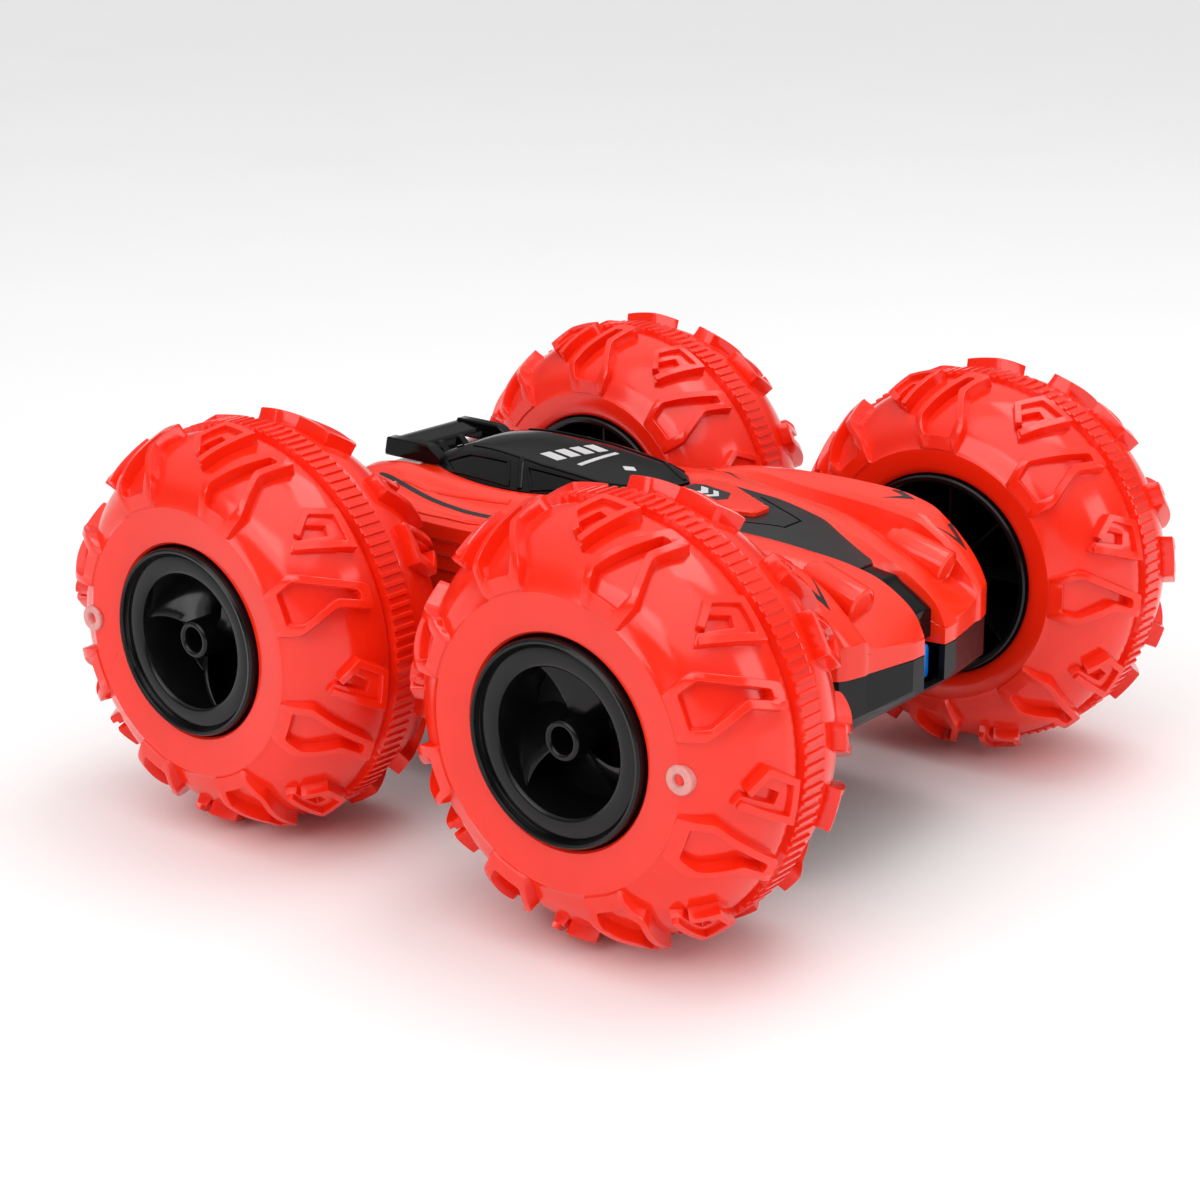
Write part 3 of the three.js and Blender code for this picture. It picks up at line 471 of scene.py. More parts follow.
def hub_mesh():
    shape = Shape()
    shape.loops(lathe(HUB_PROFILE, 96), closed=True)
    for k in range(BLADES):
        rings = []
        for i in range(BLADE_RINGS + 1):
            r = BLADE_IN + (BLADE_OUT - BLADE_IN) * i / BLADE_RINGS
            sweep = 0.25 * (i / BLADE_RINGS) ** 2
            ring = []
            for share, thick in BLADE_SECTION:
                a = 2 * math.pi * k / BLADES + BLADE_TURN + share * BLADE_HALF + sweep
                w = BLADE_MIDDLE + share * (2.6 + 0.26 * r) - 0.9 * share * share + thick
                ring.append((r * math.cos(a), -w, r * math.sin(a)))
            rings.append(ring)
        shape.loops(rings)
    for k in range(RIBS):
        a = 2 * math.pi * k / RIBS
        out, across = np.array([math.cos(a), 0, math.sin(a)]), np.array([-math.sin(a), 0, math.cos(a)])
        shape.loops([[tuple(out * r + across * s * half + np.array([0, depth, 0]))
                      for r, s in ((RIB_IN, -1), (RIB_OUT, -1), (RIB_OUT, 1), (RIB_IN, 1))]
                     for half, depth in RIB_SECTION])
    return shape.mesh("hub", smooth=40)


def valve_mesh():
    points, faces = [(0, -w, 0) for w in VALVE_ENDS], []
    for i in range(VALVE_SIDES):
        a = 2 * math.pi * i / VALVE_SIDES
        points += [(r * math.cos(a), -w, r * math.sin(a)) for r, w in VALVE_PROFILE]
    n = len(VALVE_PROFILE)
    for i in range(VALVE_SIDES):
        a, b = 2 + i * n, 2 + (i + 1) % VALVE_SIDES * n
        faces += [[a + k, a + k + 1, b + k + 1, b + k] for k in range(n - 1)]
        faces += [[0, a, b], [1, b + n - 1, a + n - 1]]
    return Shape().add([(x + VALVE_RADIUS, y, z) for x, y, z in points], faces).mesh("valve", smooth=40)


WHEEL_PARTS = (("tyre", tyre_mesh(), "red_vinyl"), ("hub", hub_mesh(), "black_hub"),
               ("valve_plug", valve_mesh(), "valve_vinyl"))
for end, way, label, side in WHEELS:
    body = f"{end}_{label}_wheel"
    # The drawn wheel faces -Y with its valve forward. Left wheels turn round to face +Y, and each wheel
    # is rolled so that the front ones have their valve forward and the rear ones have it back.
    for part, data, look in WHEEL_PARTS:
        place(f"visual_{end}_{label}_{part}", data, look, body, look, (f"{end}_{label}_{part}",),
              at=PIVOT[f"{body}_spin"], turn_y=math.pi if (way < 0) != (side > 0) else 0.0,
              turn_z=math.pi if side > 0 else 0.0)

# ---- Body shells -----------------------------------------------------------------------------------

NOSE_X, TAIL_X = 98.0, -97.0
NOSE_FROM, TAIL_FROM = 78, -86
PART_GAP = 0.15
RIM_CREASE, WALL_CREASE = 0.75, 0.6
SUBDIVISIONS = 2
# Feature lines of the upper shell from the middle outwards, as (x, y, z) from tail to nose.
UPPER_LINES = [
    [(-97, 0, 9), (-90, 0, 19.6), (-78, 0, 28.4), (-58, 0, 29.2), (16, 0, 29.4), (34, 0, 27.2),
     (53, 0, 25.6), (60, 0, 23.2), (74, 0, 18), (84, 0, 14.2), (88, 0, 10.8), (92, 0, 6.6)],
    [(-97, 9, 9), (-90, 11, 19.6), (-78, 12, 28.4), (-58, 12, 29.2), (-49, 12, 29.2), (16, 12, 29.4),
     (38, 12, 27), (57, 8, 24), (74, 4, 18), (84, 4.4, 14.2), (88, 4.4, 10.8), (92, 4.4, 6.6)],
    [(-97, 14, 9), (-90, 16, 20), (-78, 17, 28.4), (-60, 18.4, 29.6), (-49, 22.4, 29.2),
     (-35, 25, 28.4), (-20, 25, 28.4), (0, 20.6, 29.6), (9, 17, 30.4), (16, 21.4, 29.8), (38, 20.9, 28),
     (57, 13.9, 26), (74, 7.3, 21.6), (84, 5.3, 18.4), (92, 5.1, 13.6), (95.6, 5.05, 10), (98, 5, 4.6)],
    [(-97, 19, 9), (-88, 22, 21.5), (-78, 23, 29.4), (-63, 25, 32), (-48, 27, 29), (-35, 28.6, 27.4),
     (-20, 28.6, 27.4), (0, 26.6, 28.6), (14, 25.6, 29.8), (30, 25.4, 28), (42, 24.4, 26.6),
     (56, 21.6, 25.8), (68, 17, 23.6), (78, 13.6, 20.4), (86, 11.6, 17), (92, 10.4, 12.6),
     (95.4, 10.2, 9.2), (98, 10, 4.8)],
    [(-97, 22, 9), (-88, 26, 21), (-78, 28, 28.6), (-63, 29.4, 31.2), (-48, 30.6, 26),
     (-35, 31.4, 24.4), (-20, 31.6, 24.6), (0, 31, 26.6), (14, 29, 28), (30, 28, 25.4), (42, 27.6, 23),
     (56, 27.4, 21), (68, 27, 18.4), (78, 27, 14.8), (86, 27, 11.6), (91, 26.8, 8.6), (94.6, 26.6, 6.6)],
    [(-97, 23.5, 9), (-88, 29, 20.4), (-78, 31, 27), (-63, 31.6, 29), (-48, 32.4, 25.4), (-35, 33, 24),
     (-20, 33.4, 24.2), (0, 33, 26.6), (12, 31.6, 29.4), (21, 31, 29.8), (38, 29.8, 28),
     (58, 28.8, 26.8), (75, 28.2, 24.6), (84, 28, 19.2), (90, 27.8, 13.6), (94.8, 27.6, 8.4)],
    [(-97, 24.4, 9), (-88, 31, 19.4), (-78, 34, 25.4), (-63, 34.4, 26.4), (-48, 35, 23.4),
     (-35, 35.6, 22.4), (-20, 35.8, 22.6), (0, 36, 26.2), (12, 34.4, 29.8), (21, 33.8, 30.4),
     (38, 32.4, 29), (58, 31, 28.4), (75, 30, 26), (84, 29.6, 20.6), (90, 29.2, 14.6), (94.8, 28.8, 9)],
    [(-96, 25.4, 9), (-88, 33.6, 18.6), (-79, 37.8, 24.6), (-63, 38.4, 25.6), (-48, 38.6, 23.2),
     (-35, 38.8, 22.2), (-20, 38.8, 22.4), (0, 38.8, 26), (14, 38.4, 29.2), (29, 38.2, 30.2),
     (46, 38.4, 30.2), (64, 38, 29.6), (75, 37, 27), (81.5, 36.4, 22.4), (88, 35.6, 16.6),
     (91.4, 35, 12), (93.2, 34.6, 8.6)],
    [(-95, 27, 8.6), (-88, 35.4, 17.4), (-79, 40.2, 22.4), (-63, 40.8, 22.8), (-48, 40.9, 21),
     (-35, 40.9, 20.4), (-20, 40.9, 20.6), (0, 40.9, 24), (14, 40.9, 27), (46, 40.9, 28),
     (64, 40.9, 26.6), (75, 40.7, 23), (82, 39.6, 18.4), (88, 38, 13.4), (91.2, 37, 9.4),
     (92, 36.4, 7.4)],
]
UPPER_CREASE = [0, 0.5, 0.65, 0.45, 0.8, 0.9, 0.6, 0.5, 0.6]
STATIONS = [-97, -93, -88, -83, -78, -70, -63, -55, -48, -40, -30, -20, -10, 0, 8, 14, 21, 30, 38, 46, 53,
            60, 66, 71, 75, 79, 83, 87, 90, 93, 95.6, 98]


def along(line, x):
    xs = [p[0] for p in line]
    return (x, float(np.interp(x, xs, [p[1] for p in line])), float(np.interp(x, xs, [p[2] for p in line])))


def sampled(line, x):
    """A feature line's point for a station, drawn in where the line ends short of nose or tail."""
    end, start = line[-1][0], line[0][0]
    if x > NOSE_FROM:
        x = NOSE_FROM + (x - NOSE_FROM) * (end - NOSE_FROM) / (NOSE_X - NOSE_FROM)
    if x < TAIL_FROM:
        x = TAIL_FROM + (x - TAIL_FROM) * (start - TAIL_FROM) / (TAIL_X - TAIL_FROM)
    return along(line, x)


def crease_edges(data, crease):
    """Recalculates a cage's normals and sets the crease of each edge that crease gives one for."""
    tidy = bmesh.new()
    tidy.from_mesh(data)
    bmesh.ops.recalc_face_normals(tidy, faces=tidy.faces)
    layer = tidy.edges.layers.float.new("crease_edge")
    tidy.verts.ensure_lookup_table()
    for e in tidy.edges:
        value = crease(*sorted((e.verts[0].index, e.verts[1].index)))
        if value is not None:
            e[layer] = value
    tidy.to_mesh(data)
    tidy.free()
    return data


def cage_data(name, points, faces):
    data = bpy.data.meshes.new(name)
    data.from_pydata([(x * MM, y * MM, (z + AXLE.z) * MM) for x, y, z in points], [], faces)
    return data


def body_cage(name, lines, creases, walls):
    """A mirrored cage over the feature lines, with walls that run down to the parting plane. A wall row
    is (share of the height, inset at the sides)."""
    columns = [[(x, -y, z) for x, y, z in (sampled(line, s) for s in STATIONS)] for line in lines[:0:-1]]
    columns += [[sampled(line, s) for s in STATIONS] for line in lines]
    crease_of = creases[:0:-1] + creases
    wide, long = len(columns), len(STATIONS)
    grid = [[j * long + i for i in range(long)] for j in range(wide)]
    points = [p for column in columns for p in column]
    faces = [[grid[j][i], grid[j][i + 1], grid[j + 1][i + 1], grid[j + 1][i]]
             for j in range(wide - 1) for i in range(long - 1)]
    edge = ([grid[0][i] for i in range(long)] + [grid[j][-1] for j in range(1, wide)]
            + [grid[-1][i] for i in range(long - 2, -1, -1)] + [grid[j][0] for j in range(wide - 2, 0, -1)])
    previous = edge
    on_wall = set()
    for share, inset in walls:
        row = []
        for k in edge:
            x, y, z = points[k]
            side_share = max(0.0, min(1.0, (82 - abs(x)) / 14)) if abs(y) > 30 else 0.0
            row.append(len(points))
            points.append((x, y - math.copysign(inset * side_share, y), PART_GAP + (z - PART_GAP) * share))
        faces += [[previous[i], row[i], row[(i + 1) % len(row)], previous[(i + 1) % len(row)]]
                  for i in range(len(row))]
        on_wall |= set(row)
        previous = row
    column_of = {grid[j][i]: j for j in range(wide) for i in range(long)}
    on_rim = set(edge)

    def crease(a, b):
        if a in on_rim and b in on_rim:
            return RIM_CREASE
        if a in on_wall and b in on_wall:
            return WALL_CREASE
        if a in column_of and column_of.get(a) == column_of.get(b):
            return crease_of[column_of[a]]
        return None

    return crease_edges(cage_data(name, points, faces), crease)


def shell(name, data, look, thickness):
    """A subdivided cage with a wall thickness."""
    obj = bpy.data.objects.new(name, data)
    bpy.context.scene.collection.objects.link(obj)
    data.materials.append(LOOK[look])
    soft = obj.modifiers.new("soft", "SUBSURF")
    soft.levels = soft.render_levels = SUBDIVISIONS
    thick = obj.modifiers.new("thick", "SOLIDIFY")
    thick.thickness, thick.offset = thickness * MM, -1
    thick.use_even_offset = False
    baked(obj)
    return obj


SIDE_STEPS = [(0.93, 0.0), (0.80, 0.0), (0.76, 1.0), (0.58, 0.9), (0.54, 1.9), (0.34, 1.8), (0.30, 2.6),
              (0.12, 2.4), (0.0, 2.4)]
upper = shell("visual_upper_shell", body_cage("upper_cage", UPPER_LINES, UPPER_CREASE, SIDE_STEPS),
              "red_shell", 1.5)

# ---- Marks and raised lines ------------------------------------------------------------------------

ABOVE = 60


def dents(places, radius):
    """Balls round given points, as cutters."""
    shape = Shape()
    for x, y, z in places:
        rings = []
        for k in range(1, 8):
            phi = math.pi * k / 8
            wide = radius * math.sin(phi)
            rings.append([(x + wide * math.cos(t), y + wide * math.sin(t), z - radius * math.cos(phi))
                          for t in (2 * math.pi * i / 16 for i in range(16))])
        shape.loops(rings)
    return shape


def surface_of(obj):
    mesh = obj.data
    return BVHTree.FromPolygons([v.co.copy() for v in mesh.vertices],
                                [tuple(p.vertices) for p in mesh.polygons])


def height_on(tree, x, y):
    """The height and the normal of the surface seen from above at x, y."""
    hit = tree.ray_cast(Vector((x * MM, y * MM, (ABOVE + AXLE.z) * MM)), Vector((0, 0, -1)))
    if hit[0] is None:
        return None, None
    return hit[0].z / MM - AXLE.z, hit[1]


upper_tree = surface_of(upper)


def slab(outlines, tree, step=1.5, lift=0.08, depth=0.35, bevel=0.0, corner=0.15):
    """Thin closed plates that follow a surface seen from above, with their edges lowered by bevel."""
    shape = Shape()
    for outline in outlines:
        outline = [np.array(p, float) for p in outline]
        counts = divisions(outline, step)
        edge = [Vector((float(p[0]), float(p[1]))) for p in rounded(outline, counts, corner)]
        inner = []
        if bevel:
            inner = [Vector((float(p[0]), float(p[1])))
                     for p in rounded(offset(outline, [bevel] * len(outline)), counts, corner)]
        xs, ys = [p.x for p in edge], [p.y for p in edge]
        grid = [Vector((x, y)) for x in np.arange(min(xs) + step / 2, max(xs), step)
                for y in np.arange(min(ys) + step / 2, max(ys), step)]
        found = delaunay_2d_cdt(edge + inner + grid, [], [list(range(len(edge)))], 1, 1e-6)
        top, low = [], []
        for v, sources in zip(found[0], found[3]):
            z, normal = height_on(tree, v.x, v.y)
            if z is None:
                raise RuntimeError(f"{v.x:.1f}, {v.y:.1f} is off the surface")
            normal = normal if normal.z > 0 else -normal
            rise = lift - (bevel if any(i < len(edge) for i in sources) else 0)
            top.append((v.x + normal.x * rise, v.y + normal.y * rise, z + normal.z * rise))
            low.append((v.x - normal.x * depth, v.y - normal.y * depth, z - normal.z * depth))
        n = len(top)
        faces = [list(f) for f in found[2]]
        ways = {(a, b) for f in faces for a, b in zip(f, f[1:] + f[:1])}
        rim = [(a, b) for a, b in ways if (b, a) not in ways]
        shape.add(top + low, faces + [[i + n for i in f[::-1]] for f in faces]
                  + [[b, a, a + n, b + n] for a, b in sorted(rim)])
    return shape


def decal(name, outlines, tree, look, **options):
    place(name, slab(outlines, tree, **options).mesh(name, smooth=25, raise_by=AXLE.z), look, "car_body")


def mirrored(outlines):
    """The outlines and their images across the middle, all run anticlockwise."""
    return outlines + [[(x, -y) for x, y in outline][::-1] for outline in outlines]


def anticlockwise(outline):
    """The outline, turned round if it runs clockwise."""
    area = sum(a[0] * b[1] - b[0] * a[1] for a, b in zip(outline, outline[1:] + outline[:1]))
    return outline if area > 0 else outline[::-1]


BEAD_STEP = 1.3
BEAD_SECTION = ((-1.0, -1.2), (-1.0, 0.45), (-0.6, 1.0), (0.6, 1.0), (1.0, 0.45), (1.0, -1.2))


def bead(shape, path, tree, half, high, closed=False):
    """A raised line along a path, set on the nearest part of a surface."""
    path = [Vector(p) for p in path]
    ends = path + path[:1] if closed else path
    points = []
    for a, b in zip(ends, ends[1:]):
        n = max(1, round((b - a).length / BEAD_STEP))
        points += [a.lerp(b, k / n) for k in range(n)]
    if not closed:
        points.append(ends[-1])
    lift = Vector((0, 0, AXLE.z))
    loops = []
    for i, p in enumerate(points):
        before = points[i - 1] if closed or i else p
        after = points[(i + 1) % len(points)] if closed or i < len(points) - 1 else p
        at, normal, _, _ = tree.find_nearest((p + lift) * MM)
        at = at / MM - lift
        across = (after - before).cross(normal).normalized()
        loops.append([at + across * half * side + normal * high * rise for side, rise in BEAD_SECTION])
    shape.loops(loops, closed=closed)


# ---- Canopy and bonnet panel -----------------------------------------------------------------------

CANOPY_STATIONS = [-66, -62, -57, -52, -47, -41, -35, -27, -20, -10, 0, 5, 9, 12, 15]
CANOPY_LINES = [
    [(-66, 0, 30.8), (-60, 0, 32.8), (-52, 0, 36.6), (-43, 0, 37.3), (-35, 0, 37), (-20, 0, 35.9),
     (0, 0, 33.6), (9, 0, 32.2), (15, 0, 31.4)],
    [(-66, 9, 30.6), (-60, 10, 32.6), (-52, 11.4, 35.8), (-43, 13, 36.6), (-35, 14.2, 36.2),
     (-20, 15.4, 35.2), (0, 14.4, 32.8), (9, 11.4, 31.4), (15, 5, 31.1)],
    [(-66, 10.6, 30.4), (-60, 12.4, 31.6), (-52, 14.6, 34.2), (-43, 15.2, 35.4), (-35, 16, 35),
     (-20, 17, 34.2), (0, 15.6, 32.3), (9, 12.4, 31.1), (15, 5.8, 31)],
    [(-66, 13.6, 29.8), (-58, 17, 29.8), (-49, 21.2, 29.4), (-35, 23.7, 28.8), (-20, 23.7, 28.8),
     (0, 18.8, 30), (9, 13.4, 30.6), (15, 6, 30.8)],
    [(-66, 13.8, 27.6), (-58, 17.2, 27.6), (-49, 21.5, 27.4), (-35, 24, 27), (-20, 24, 27), (0, 19, 28),
     (9, 13.5, 29), (15, 6.2, 29.4)],
]
CANOPY_CREASE = [0, 0.5, 0.5, 0.6, 0.5]


def strip_cage(name, lines, creases, stations, end_crease=0.6, foot=None):
    """A mirrored cage over straight feature lines, closed down to foot at its ends and open below."""
    columns = [[(x, -y, z) for x, y, z in (along(line, s) for s in stations)] for line in lines[:0:-1]]
    columns += [[along(line, s) for s in stations] for line in lines]
    crease_of = creases[:0:-1] + creases
    long, wide = len(stations), len(columns)
    points = [p for c in columns for p in c]
    faces = [[j * long + i, j * long + i + 1, (j + 1) * long + i + 1, (j + 1) * long + i]
             for j in range(wide - 1) for i in range(long - 1)]
    foot = min(p[2] for p in points) - 0.2 if foot is None else foot
    ends = []
    for i in (0, long - 1):
        row = [j * long + i for j in range(wide)]
        low = list(range(len(points), len(points) + wide))
        points += [(points[k][0], points[k][1], foot) for k in row]
        faces += [[row[j], low[j], low[j + 1], row[j + 1]] for j in range(wide - 1)]
        ends.append(set(row))

    def crease(a, b):
        if any(a in row and b in row for row in ends):
            return end_crease
        if b < long * wide and a // long == b // long:
            return crease_of[a // long]
        return None

    return crease_edges(cage_data(name, points, faces), crease)


canopy = shell("visual_canopy", strip_cage("canopy_cage", CANOPY_LINES, CANOPY_CREASE, CANOPY_STATIONS),
               "black_gloss", 1.2)
canopy_tree = surface_of(canopy)

PANEL_LINES = [
    [(16, 0, 29.9), (34, 0, 28.4), (53, 0, 26.8), (60, 0, 24.4), (74, 0, 19.4), (77, 0, 18.4)],
    [(16, 10, 29.8), (34, 9.6, 28.2), (53, 8, 26.6), (60, 6.4, 24.3), (74, 3.6, 19.3), (76.6, 2.4, 18.4)],
    [(16, 20.2, 29.4), (38, 19.7, 27.3), (57, 12.8, 25), (74, 6.3, 19.4), (76, 4, 18.6)],
    [(16, 20.6, 28), (38, 20.1, 25.9), (57, 13.2, 23.6), (74, 6.6, 18), (76, 4.2, 17.2)],
]
PANEL_STATIONS = [16, 24, 34, 38, 46, 53, 57, 64, 70, 74, 76]
panel = shell("visual_bonnet_panel",
              strip_cage("panel_cage", PANEL_LINES, [0, 0, 0.8, 0.8], PANEL_STATIONS, 0.8),
              "black_panel", 1.0)
panel_tree = surface_of(panel)

# A V groove in the panel, and a row of dimples down each side of the bonnet.
groove = stroke([(34, 13), (53.4, 3.8), (53.4, -3.8), (34, -13)], 0.35)
cut(panel, slab([anticlockwise(groove)], panel_tree, step=1.2, lift=0.6, depth=0.45, corner=0.05))
DIMPLES = [(42.5, 25), (48, 26.2), (55.5, 24.6), (62, 24.8), (68, 24)]
holes = [(x, y * s, height_on(upper_tree, x, y * s)[0] + 0.35) for x, y in DIMPLES for s in (1, -1)]
cut(upper, dents(holes, 1.1))

SHELL_SMOOTH = 28
for obj, slot_name, node in ((upper, "red_shell", "upper_shell"), (canopy, "black_gloss", "canopy"),
                             (panel, "black_gloss", "bonnet_panel")):
    finish_shading(obj.data, SHELL_SMOOTH)
    hand_over(obj, "car_body", (node,))

# ---- Pods, badge and printed marks -----------------------------------------------------------------

# Round pods that stand out of the lobes beside the bonnet. A profile row is (share of length, radius).
POD_BACK, POD_FRONT = (71.0, 19.4, 21.2), (89.0, 20.8, 15.2)
POD_PROFILE = [(0, 2.4), (0.03, 3.2), (0.05, 3.5), (0.15, 3.8), (0.16, 4.5), (0.19, 4.8), (0.93, 5.0),
               (0.97, 4.9), (0.99, 4.5), (0.995, 3.9), (0.975, 3.6)]
pods = Shape()
for side in (1, -1):
    start, end = (np.array([x, y * side, z]) for x, y, z in (POD_BACK, POD_FRONT))
    axis = (end - start) / np.linalg.norm(end - start)
    across = np.cross(axis, [0, 0, 1])
    across /= np.linalg.norm(across)
    above = np.cross(across, axis)
    pods.loops([[start + (end - start) * t + r * (across * math.cos(a) + above * math.sin(a))
                 for a in (2 * math.pi * i / 40 for i in range(40))] for t, r in POD_PROFILE])
place("bonnet_pods", pods.mesh("bonnet_pods", smooth=35, raise_by=AXLE.z), "red_shell", "car_body")

badge = anticlockwise([(16.7, -11), (23.2, -13.7), (43.6, -3.2), (43.6, 3.2), (23.2, 13.7), (16.7, 11)])
badge_cap = slab([badge], panel_tree, step=1.6, lift=1.5, depth=0.5, bevel=0.45, corner=0.8)
plate = place("visual_badge_plate", badge_cap.mesh("badge_plate_cap", smooth=30, raise_by=AXLE.z),
              "red_shell", "car_body", "red_shell", ("badge_plate",))
plate_tree = surface_of(plate)
ground = [(17.6, -4.2), (20.6, -5.8), (29.8, -4.8), (32.2, 0), (29.8, 4.8), (20.6, 5.8), (17.6, 4.2)]
mark = [[(20.6, -3.6), (23.0, -3.6), (25.6, 0), (23.0, 3.6), (20.6, 3.6), (23.2, 0)],
        [(25.0, -3.2), (26.8, -3.2), (29.2, 0), (26.8, 3.2), (25.0, 3.2), (27.4, 0)]]
decal("badge_ground", [anticlockwise(ground)], plate_tree, "ink_black", lift=0.07)
decal("badge_mark", [anticlockwise(o) for o in mark], plate_tree, "ink_white", step=1.0, lift=0.14)

# Printed marks on the red deck: chevrons on the fenders, scratches by the canopy and pinstripes.
chevrons = [
    [(87.4, -33.4), (79.2, -29.8), (84.4, -33.2), (80.4, -34.4), (80.4, -36.4)],
    [(69.4, -35.8), (61.4, -32), (65.8, -35.6), (61.2, -36.6), (61.2, -38.6)],
]
scratches = [[(-6 + 5 * k, 36.6 - 3 * k), (3 + 5 * k, 32.8 - 3.2 * k), (11 + 5 * k, 28 - 3.2 * k),
              (4 + 5 * k, 31 - 3.2 * k)] for k in range(3)]
stripe = stroke([(-68, 31.2), (-60, 32.2), (-47, 33.1), (-33, 34.1), (-21, 34.4)], 0.5)
for title, outlines in (("fender_chevrons", chevrons), ("deck_scratches", scratches),
                        ("haunch_pinstripes", [stripe])):
    decal(title, mirrored([anticlockwise([tuple(p) for p in o]) for o in outlines]), upper_tree,
          "ink_black")
slashes = [anticlockwise([(-26.5 + 1.2 * k, -9 + 5 * k), (-25.7 + 1.2 * k, -5.6 + 5 * k),
                          (-18.4 + k, -6.8 + 5 * k), (-19.2 + k, -10.2 + 5 * k)]) for k in range(4)]
decal("roof_slashes", slashes + [[(-13.4, -8.6), (-11.8, -8.6), (-11.8, 8.6), (-13.4, 8.6)],
                                 [(-4, 0), (-1.5, -2), (1, 0), (-1.5, 2)]], canopy_tree, "ink_white")

# Long folds pressed into the deck between the canopy and the pinstripe.
folds = Shape()
for side in (1, -1):
    for out, level, half in ((29.9, 28.2, 0.9), (36.6, 24.6, 0.7), (38.4, 23.8, 0.6)):
        bead(folds, [(-66 + 4.5 * k, (out + 1.6 * math.sin(0.32 * k)) * side, level) for k in range(11)],
             upper_tree, half, 0.28)
place("deck_folds", folds.mesh("deck_folds", smooth=60, raise_by=AXLE.z), "red_shell", "car_body")

# Window frames on the canopy's sides, the pillar between them and the roof's edge.
WINDOWS = [[(-55, 16.6, 31.2), (-46, 15.7, 34.2), (-31.5, 16.7, 34.4), (-26.5, 23, 29.6),
            (-49, 20.6, 29.9)],
           [(-24, 17.2, 34), (0, 15.9, 32), (7.5, 13.4, 31), (-18.5, 22.8, 29.6)]]
PILLAR = [(-28, 15, 35.8), (-22.4, 23, 29.4)]
ROOF_EDGE = [(-56, 10.6, 34), (-43, 13, 36.4), (-20, 15.4, 35), (0, 14.4, 32.8), (13.5, 5.6, 31.2)]
frames = Shape()
for side in (1, -1):
    for path, half, high, closed in ((WINDOWS[0], 0.5, 0.45, True), (WINDOWS[1], 0.5, 0.45, True),
                                     (PILLAR, 0.8, 0.5, False), (ROOF_EDGE, 0.55, 0.35, False)):
        bead(frames, [(x, y * side, z) for x, y, z in path], canopy_tree, half, high, closed)
place("window_frames", frames.mesh("window_frames", smooth=35, raise_by=AXLE.z), "black_gloss", "car_body")

# ---- Nose strip, lens and spoiler ------------------------------------------------------------------

STRIP_LINES = [
    [(75.2, 0, 18.4), (80, 0, 17.6), (83.4, 0, 17.2), (84.2, 0, 16), (89.5, 0, 12.8), (93.8, 0, 9.8)],
    [(75.2, 3.2, 18.3), (80, 3.4, 17.4), (83.4, 3.4, 17), (84.2, 3.4, 15.9), (89.5, 3.4, 12.7),
     (93.8, 3.4, 9.6)],
    [(75.2, 4.3, 17.8), (80, 4.3, 17), (83.4, 4.4, 16.6), (84.2, 4.4, 15.6), (89.5, 4.5, 12.4),
     (93.8, 4.6, 9.3)],
    [(75.2, 4.4, 15.2), (80, 4.5, 14), (83.4, 4.6, 13.4), (84.2, 4.6, 12.8), (89.5, 4.7, 8.4),
     (93.8, 4.7, 2.4)],
]
STRIP_STATIONS = [75.2, 77, 80, 82, 83.4, 84.2, 86, 88, 89.5, 92, 93.8]
strip = shell("visual_nose_strip",
              strip_cage("strip_cage", STRIP_LINES, [0, 0.7, 0.7, 0.7], STRIP_STATIONS, 0.9, foot=1.8),
              "black_gloss", 0.6)
finish_shading(strip.data, SHELL_SMOOTH)
hand_over(strip, "car_body", ("nose_strip",))

# The lens's sections from back to front, as (x, half width).
lens = Shape()
lens.loops([[(x, y, z) for y, z in rounded([np.array(p, float) for p in (
    (-w, -w - 6.3), (w, -w - 6.3), (w, w - 1.6), (-w, w - 1.6))], [1] * 4, 1.2)]
    for x, w in ((92.0, 2.3), (94.2, 2.3), (94.9, 2.0), (95.1, 1.4))])
place("visual_nose_lens", lens.mesh("lens", raise_by=AXLE.z), "blue_lens", "car_body", "blue_lens",
      ("nose_lens",))


def outline_of(*points):
    return [np.array(p, float) for p in points]


END_PLATE = outline_of((-79.6, 29.8), (-61, 29.4), (-56.6, 30), (-57.4, 32), (-62, 35), (-78.4, 35.4))
WING = outline_of((-79, 33.4), (-76, 32.6), (-69.2, 32.2), (-68.4, 32.6), (-69.6, 33.6), (-75, 34.5),
                  (-78.6, 34.5))
STRUT = outline_of((-76, 28), (-63, 28), (-68, 33), (-75, 33.2))
spoiler = Shape()
for side in (1, -1):
    spoiler.loops([[(x, side * y, z) for x, z in rounded(offset(END_PLATE, [inset] * 6), [2] * 6, 0.8)]
                   for y, inset in ((13.6, 0.5), (13.9, 0.05), (16.8, 0.05), (17.2, 0.5))])
spoiler.loops([[(x, y, z) for x, z in rounded(WING, [1] * 7, 0.3)] for y in np.linspace(-14, 14, 9)])
for y in (-4.4, 4.4):
    spoiler.loops([[(x, y + w, z) for x, z in rounded(offset(STRUT, [i] * 4), [1] * 4, 0.4)]
                   for w, i in ((-1.1, 0.3), (-0.8, 0), (0.8, 0), (1.1, 0.3))])
place("visual_rear_spoiler", spoiler.mesh("spoiler", smooth=25, raise_by=AXLE.z), "black_gloss",
      "car_body", "black_gloss", ("rear_spoiler",))

# ---- Light, floor and camera ------------------------------------------------------------------------

scene = bpy.context.scene
scene.view_settings.view_transform = "Standard"
world = bpy.data.worlds.new("studio")
scene.world = world
world.use_nodes = True
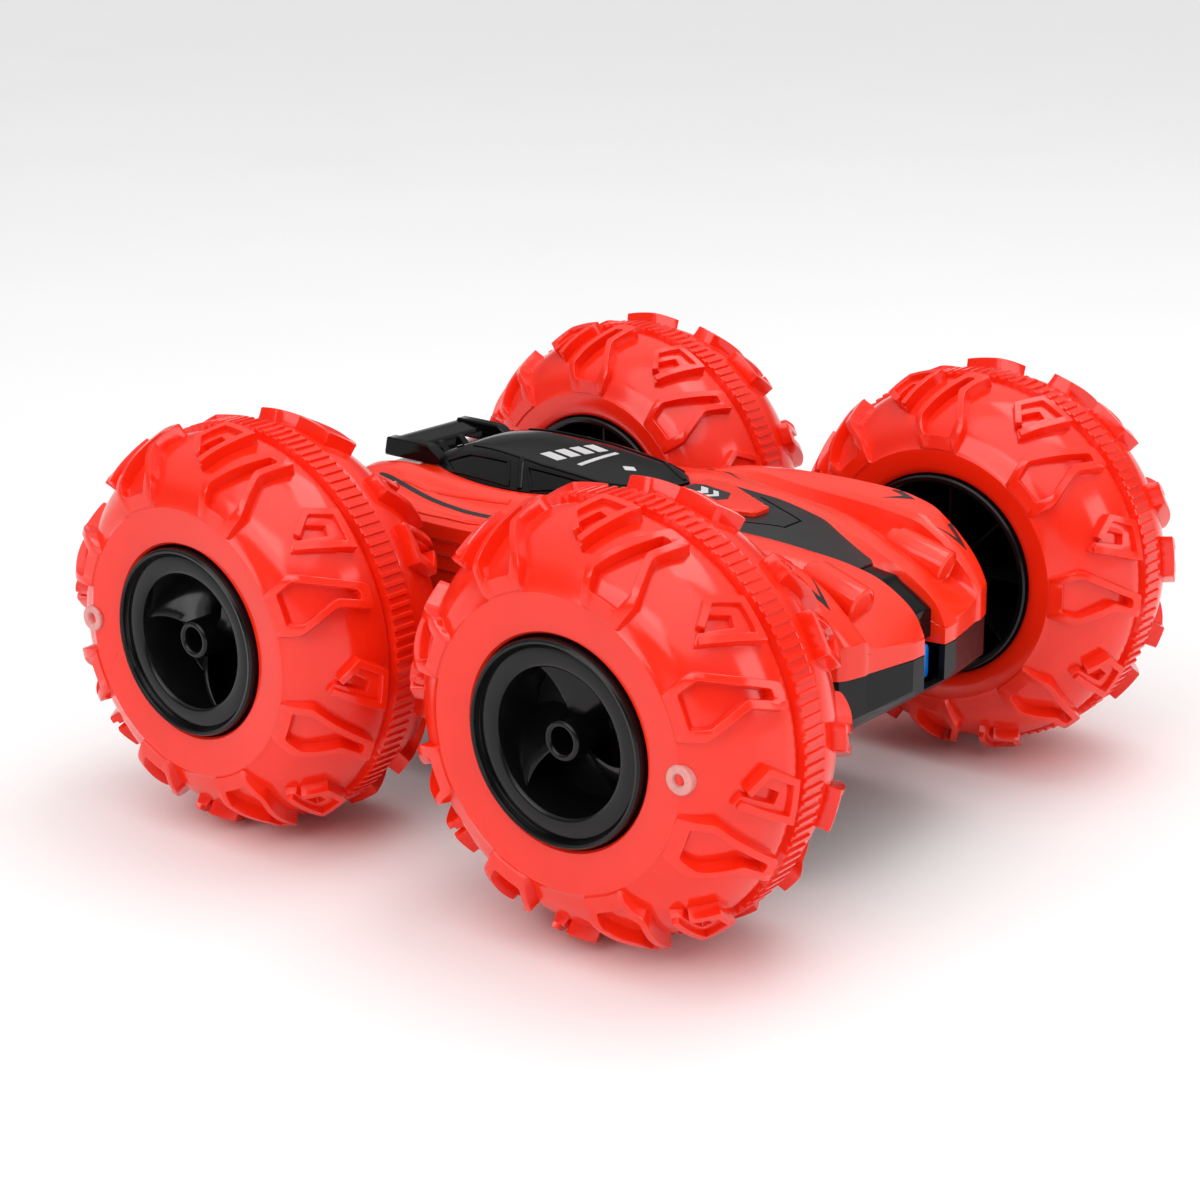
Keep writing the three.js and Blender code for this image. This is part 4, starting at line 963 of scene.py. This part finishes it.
# A light tent, as (height of the direction, grey): pale horizon, dim walls and a bright roof.
TENT = [(0.0, 0.78), (0.08, 0.78), (0.14, 0.22), (0.30, 0.16), (0.62, 0.62), (0.9, 0.95)]
TENT_STRENGTH = 1.06
tent, tent_links = world.node_tree.nodes, world.node_tree.links
direction = tent.new("ShaderNodeTexCoord")
split = tent.new("ShaderNodeSeparateXYZ")
ramp = tent.new("ShaderNodeValToRGB")
tent_links.new(direction.outputs["Generated"], split.inputs[0])
tent_links.new(split.outputs["Z"], ramp.inputs["Fac"])
tent_links.new(ramp.outputs["Color"], tent["Background"].inputs["Color"])
stops = ramp.color_ramp.elements
while len(stops) < len(TENT):
    stops.new(1.0)
for stop, (height, grey) in zip(stops, TENT):
    stop.position, stop.color = height, (grey, grey, grey, 1)
tent["Background"].inputs["Strength"].default_value = TENT_STRENGTH


def softbox(name, at, size, power):
    """A rectangular light aimed at the car."""
    light = bpy.data.lights.new(name, "AREA")
    light.shape = "RECTANGLE"
    light.size, light.size_y = size
    light.energy = power
    obj = bpy.data.objects.new(name, light)
    scene.collection.objects.link(obj)
    obj.location = at
    obj.rotation_euler = (Vector((0, 0, 0.05)) - Vector(at)).to_track_quat("-Z", "Y").to_euler()


softbox("key", (-0.1, -1.4, 0.9), (1.1, 0.7), 5.5)
softbox("top", (0.25, 0.35, 1.5), (0.9, 0.7), 5)
softbox("right", (1.5, 0.1, 0.6), (0.7, 0.7), 4)
sky = bpy.data.objects.new("sky", bpy.data.lights.new("sky", "SUN"))
sky.data.energy, sky.data.angle = 0.72, math.radians(60)
sky.rotation_euler = (math.radians(28), math.radians(14), 0)
scene.collection.objects.link(sky)

floor_mesh = bpy.data.meshes.new("floor")
FLOOR_HALF = 60
floor_mesh.from_pydata([(-FLOOR_HALF, -FLOOR_HALF, 0), (FLOOR_HALF, -FLOOR_HALF, 0),
                        (FLOOR_HALF, FLOOR_HALF, 0), (-FLOOR_HALF, FLOOR_HALF, 0)], [], [(0, 1, 2, 3)])
floor = bpy.data.objects.new("floor", floor_mesh)
scene.collection.objects.link(floor)
floor_mesh.materials.append(moulded("floor_paint", (0.93, 0.93, 0.93), 0.6, mottle=0.003, mottle_scale=2,
                                    grain=0.0))
floor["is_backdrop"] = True

# The camera fitted to the photograph: its direction in radians, its place in metres and its lens in mm.
YAW, PITCH_DOWN, ROLL = 2.246990901, -0.301794057, -0.011993626
CAMERA_AT = (0.393548, -0.506210, 0.252080)
LENS = 71.105
look = Vector((math.cos(PITCH_DOWN) * math.cos(YAW), math.cos(PITCH_DOWN) * math.sin(YAW),
               math.sin(PITCH_DOWN)))
right = look.cross(Vector((0, 0, 1))).normalized()
up = right.cross(look)
right, up = (right * math.cos(ROLL) + up * math.sin(ROLL), up * math.cos(ROLL) - right * math.sin(ROLL))
camera = bpy.data.objects.new("camera", bpy.data.cameras.new("camera"))
camera.data.sensor_width = 36
camera.data.lens = LENS
camera.data.clip_start, camera.data.clip_end = 0.01, 200
scene.collection.objects.link(camera)
camera.matrix_world = Matrix.Translation(CAMERA_AT) @ Matrix((
    (right.x, up.x, -look.x, 0), (right.y, up.y, -look.y, 0), (right.z, up.z, -look.z, 0), (0, 0, 0, 1)))
scene.camera = camera

low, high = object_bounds()
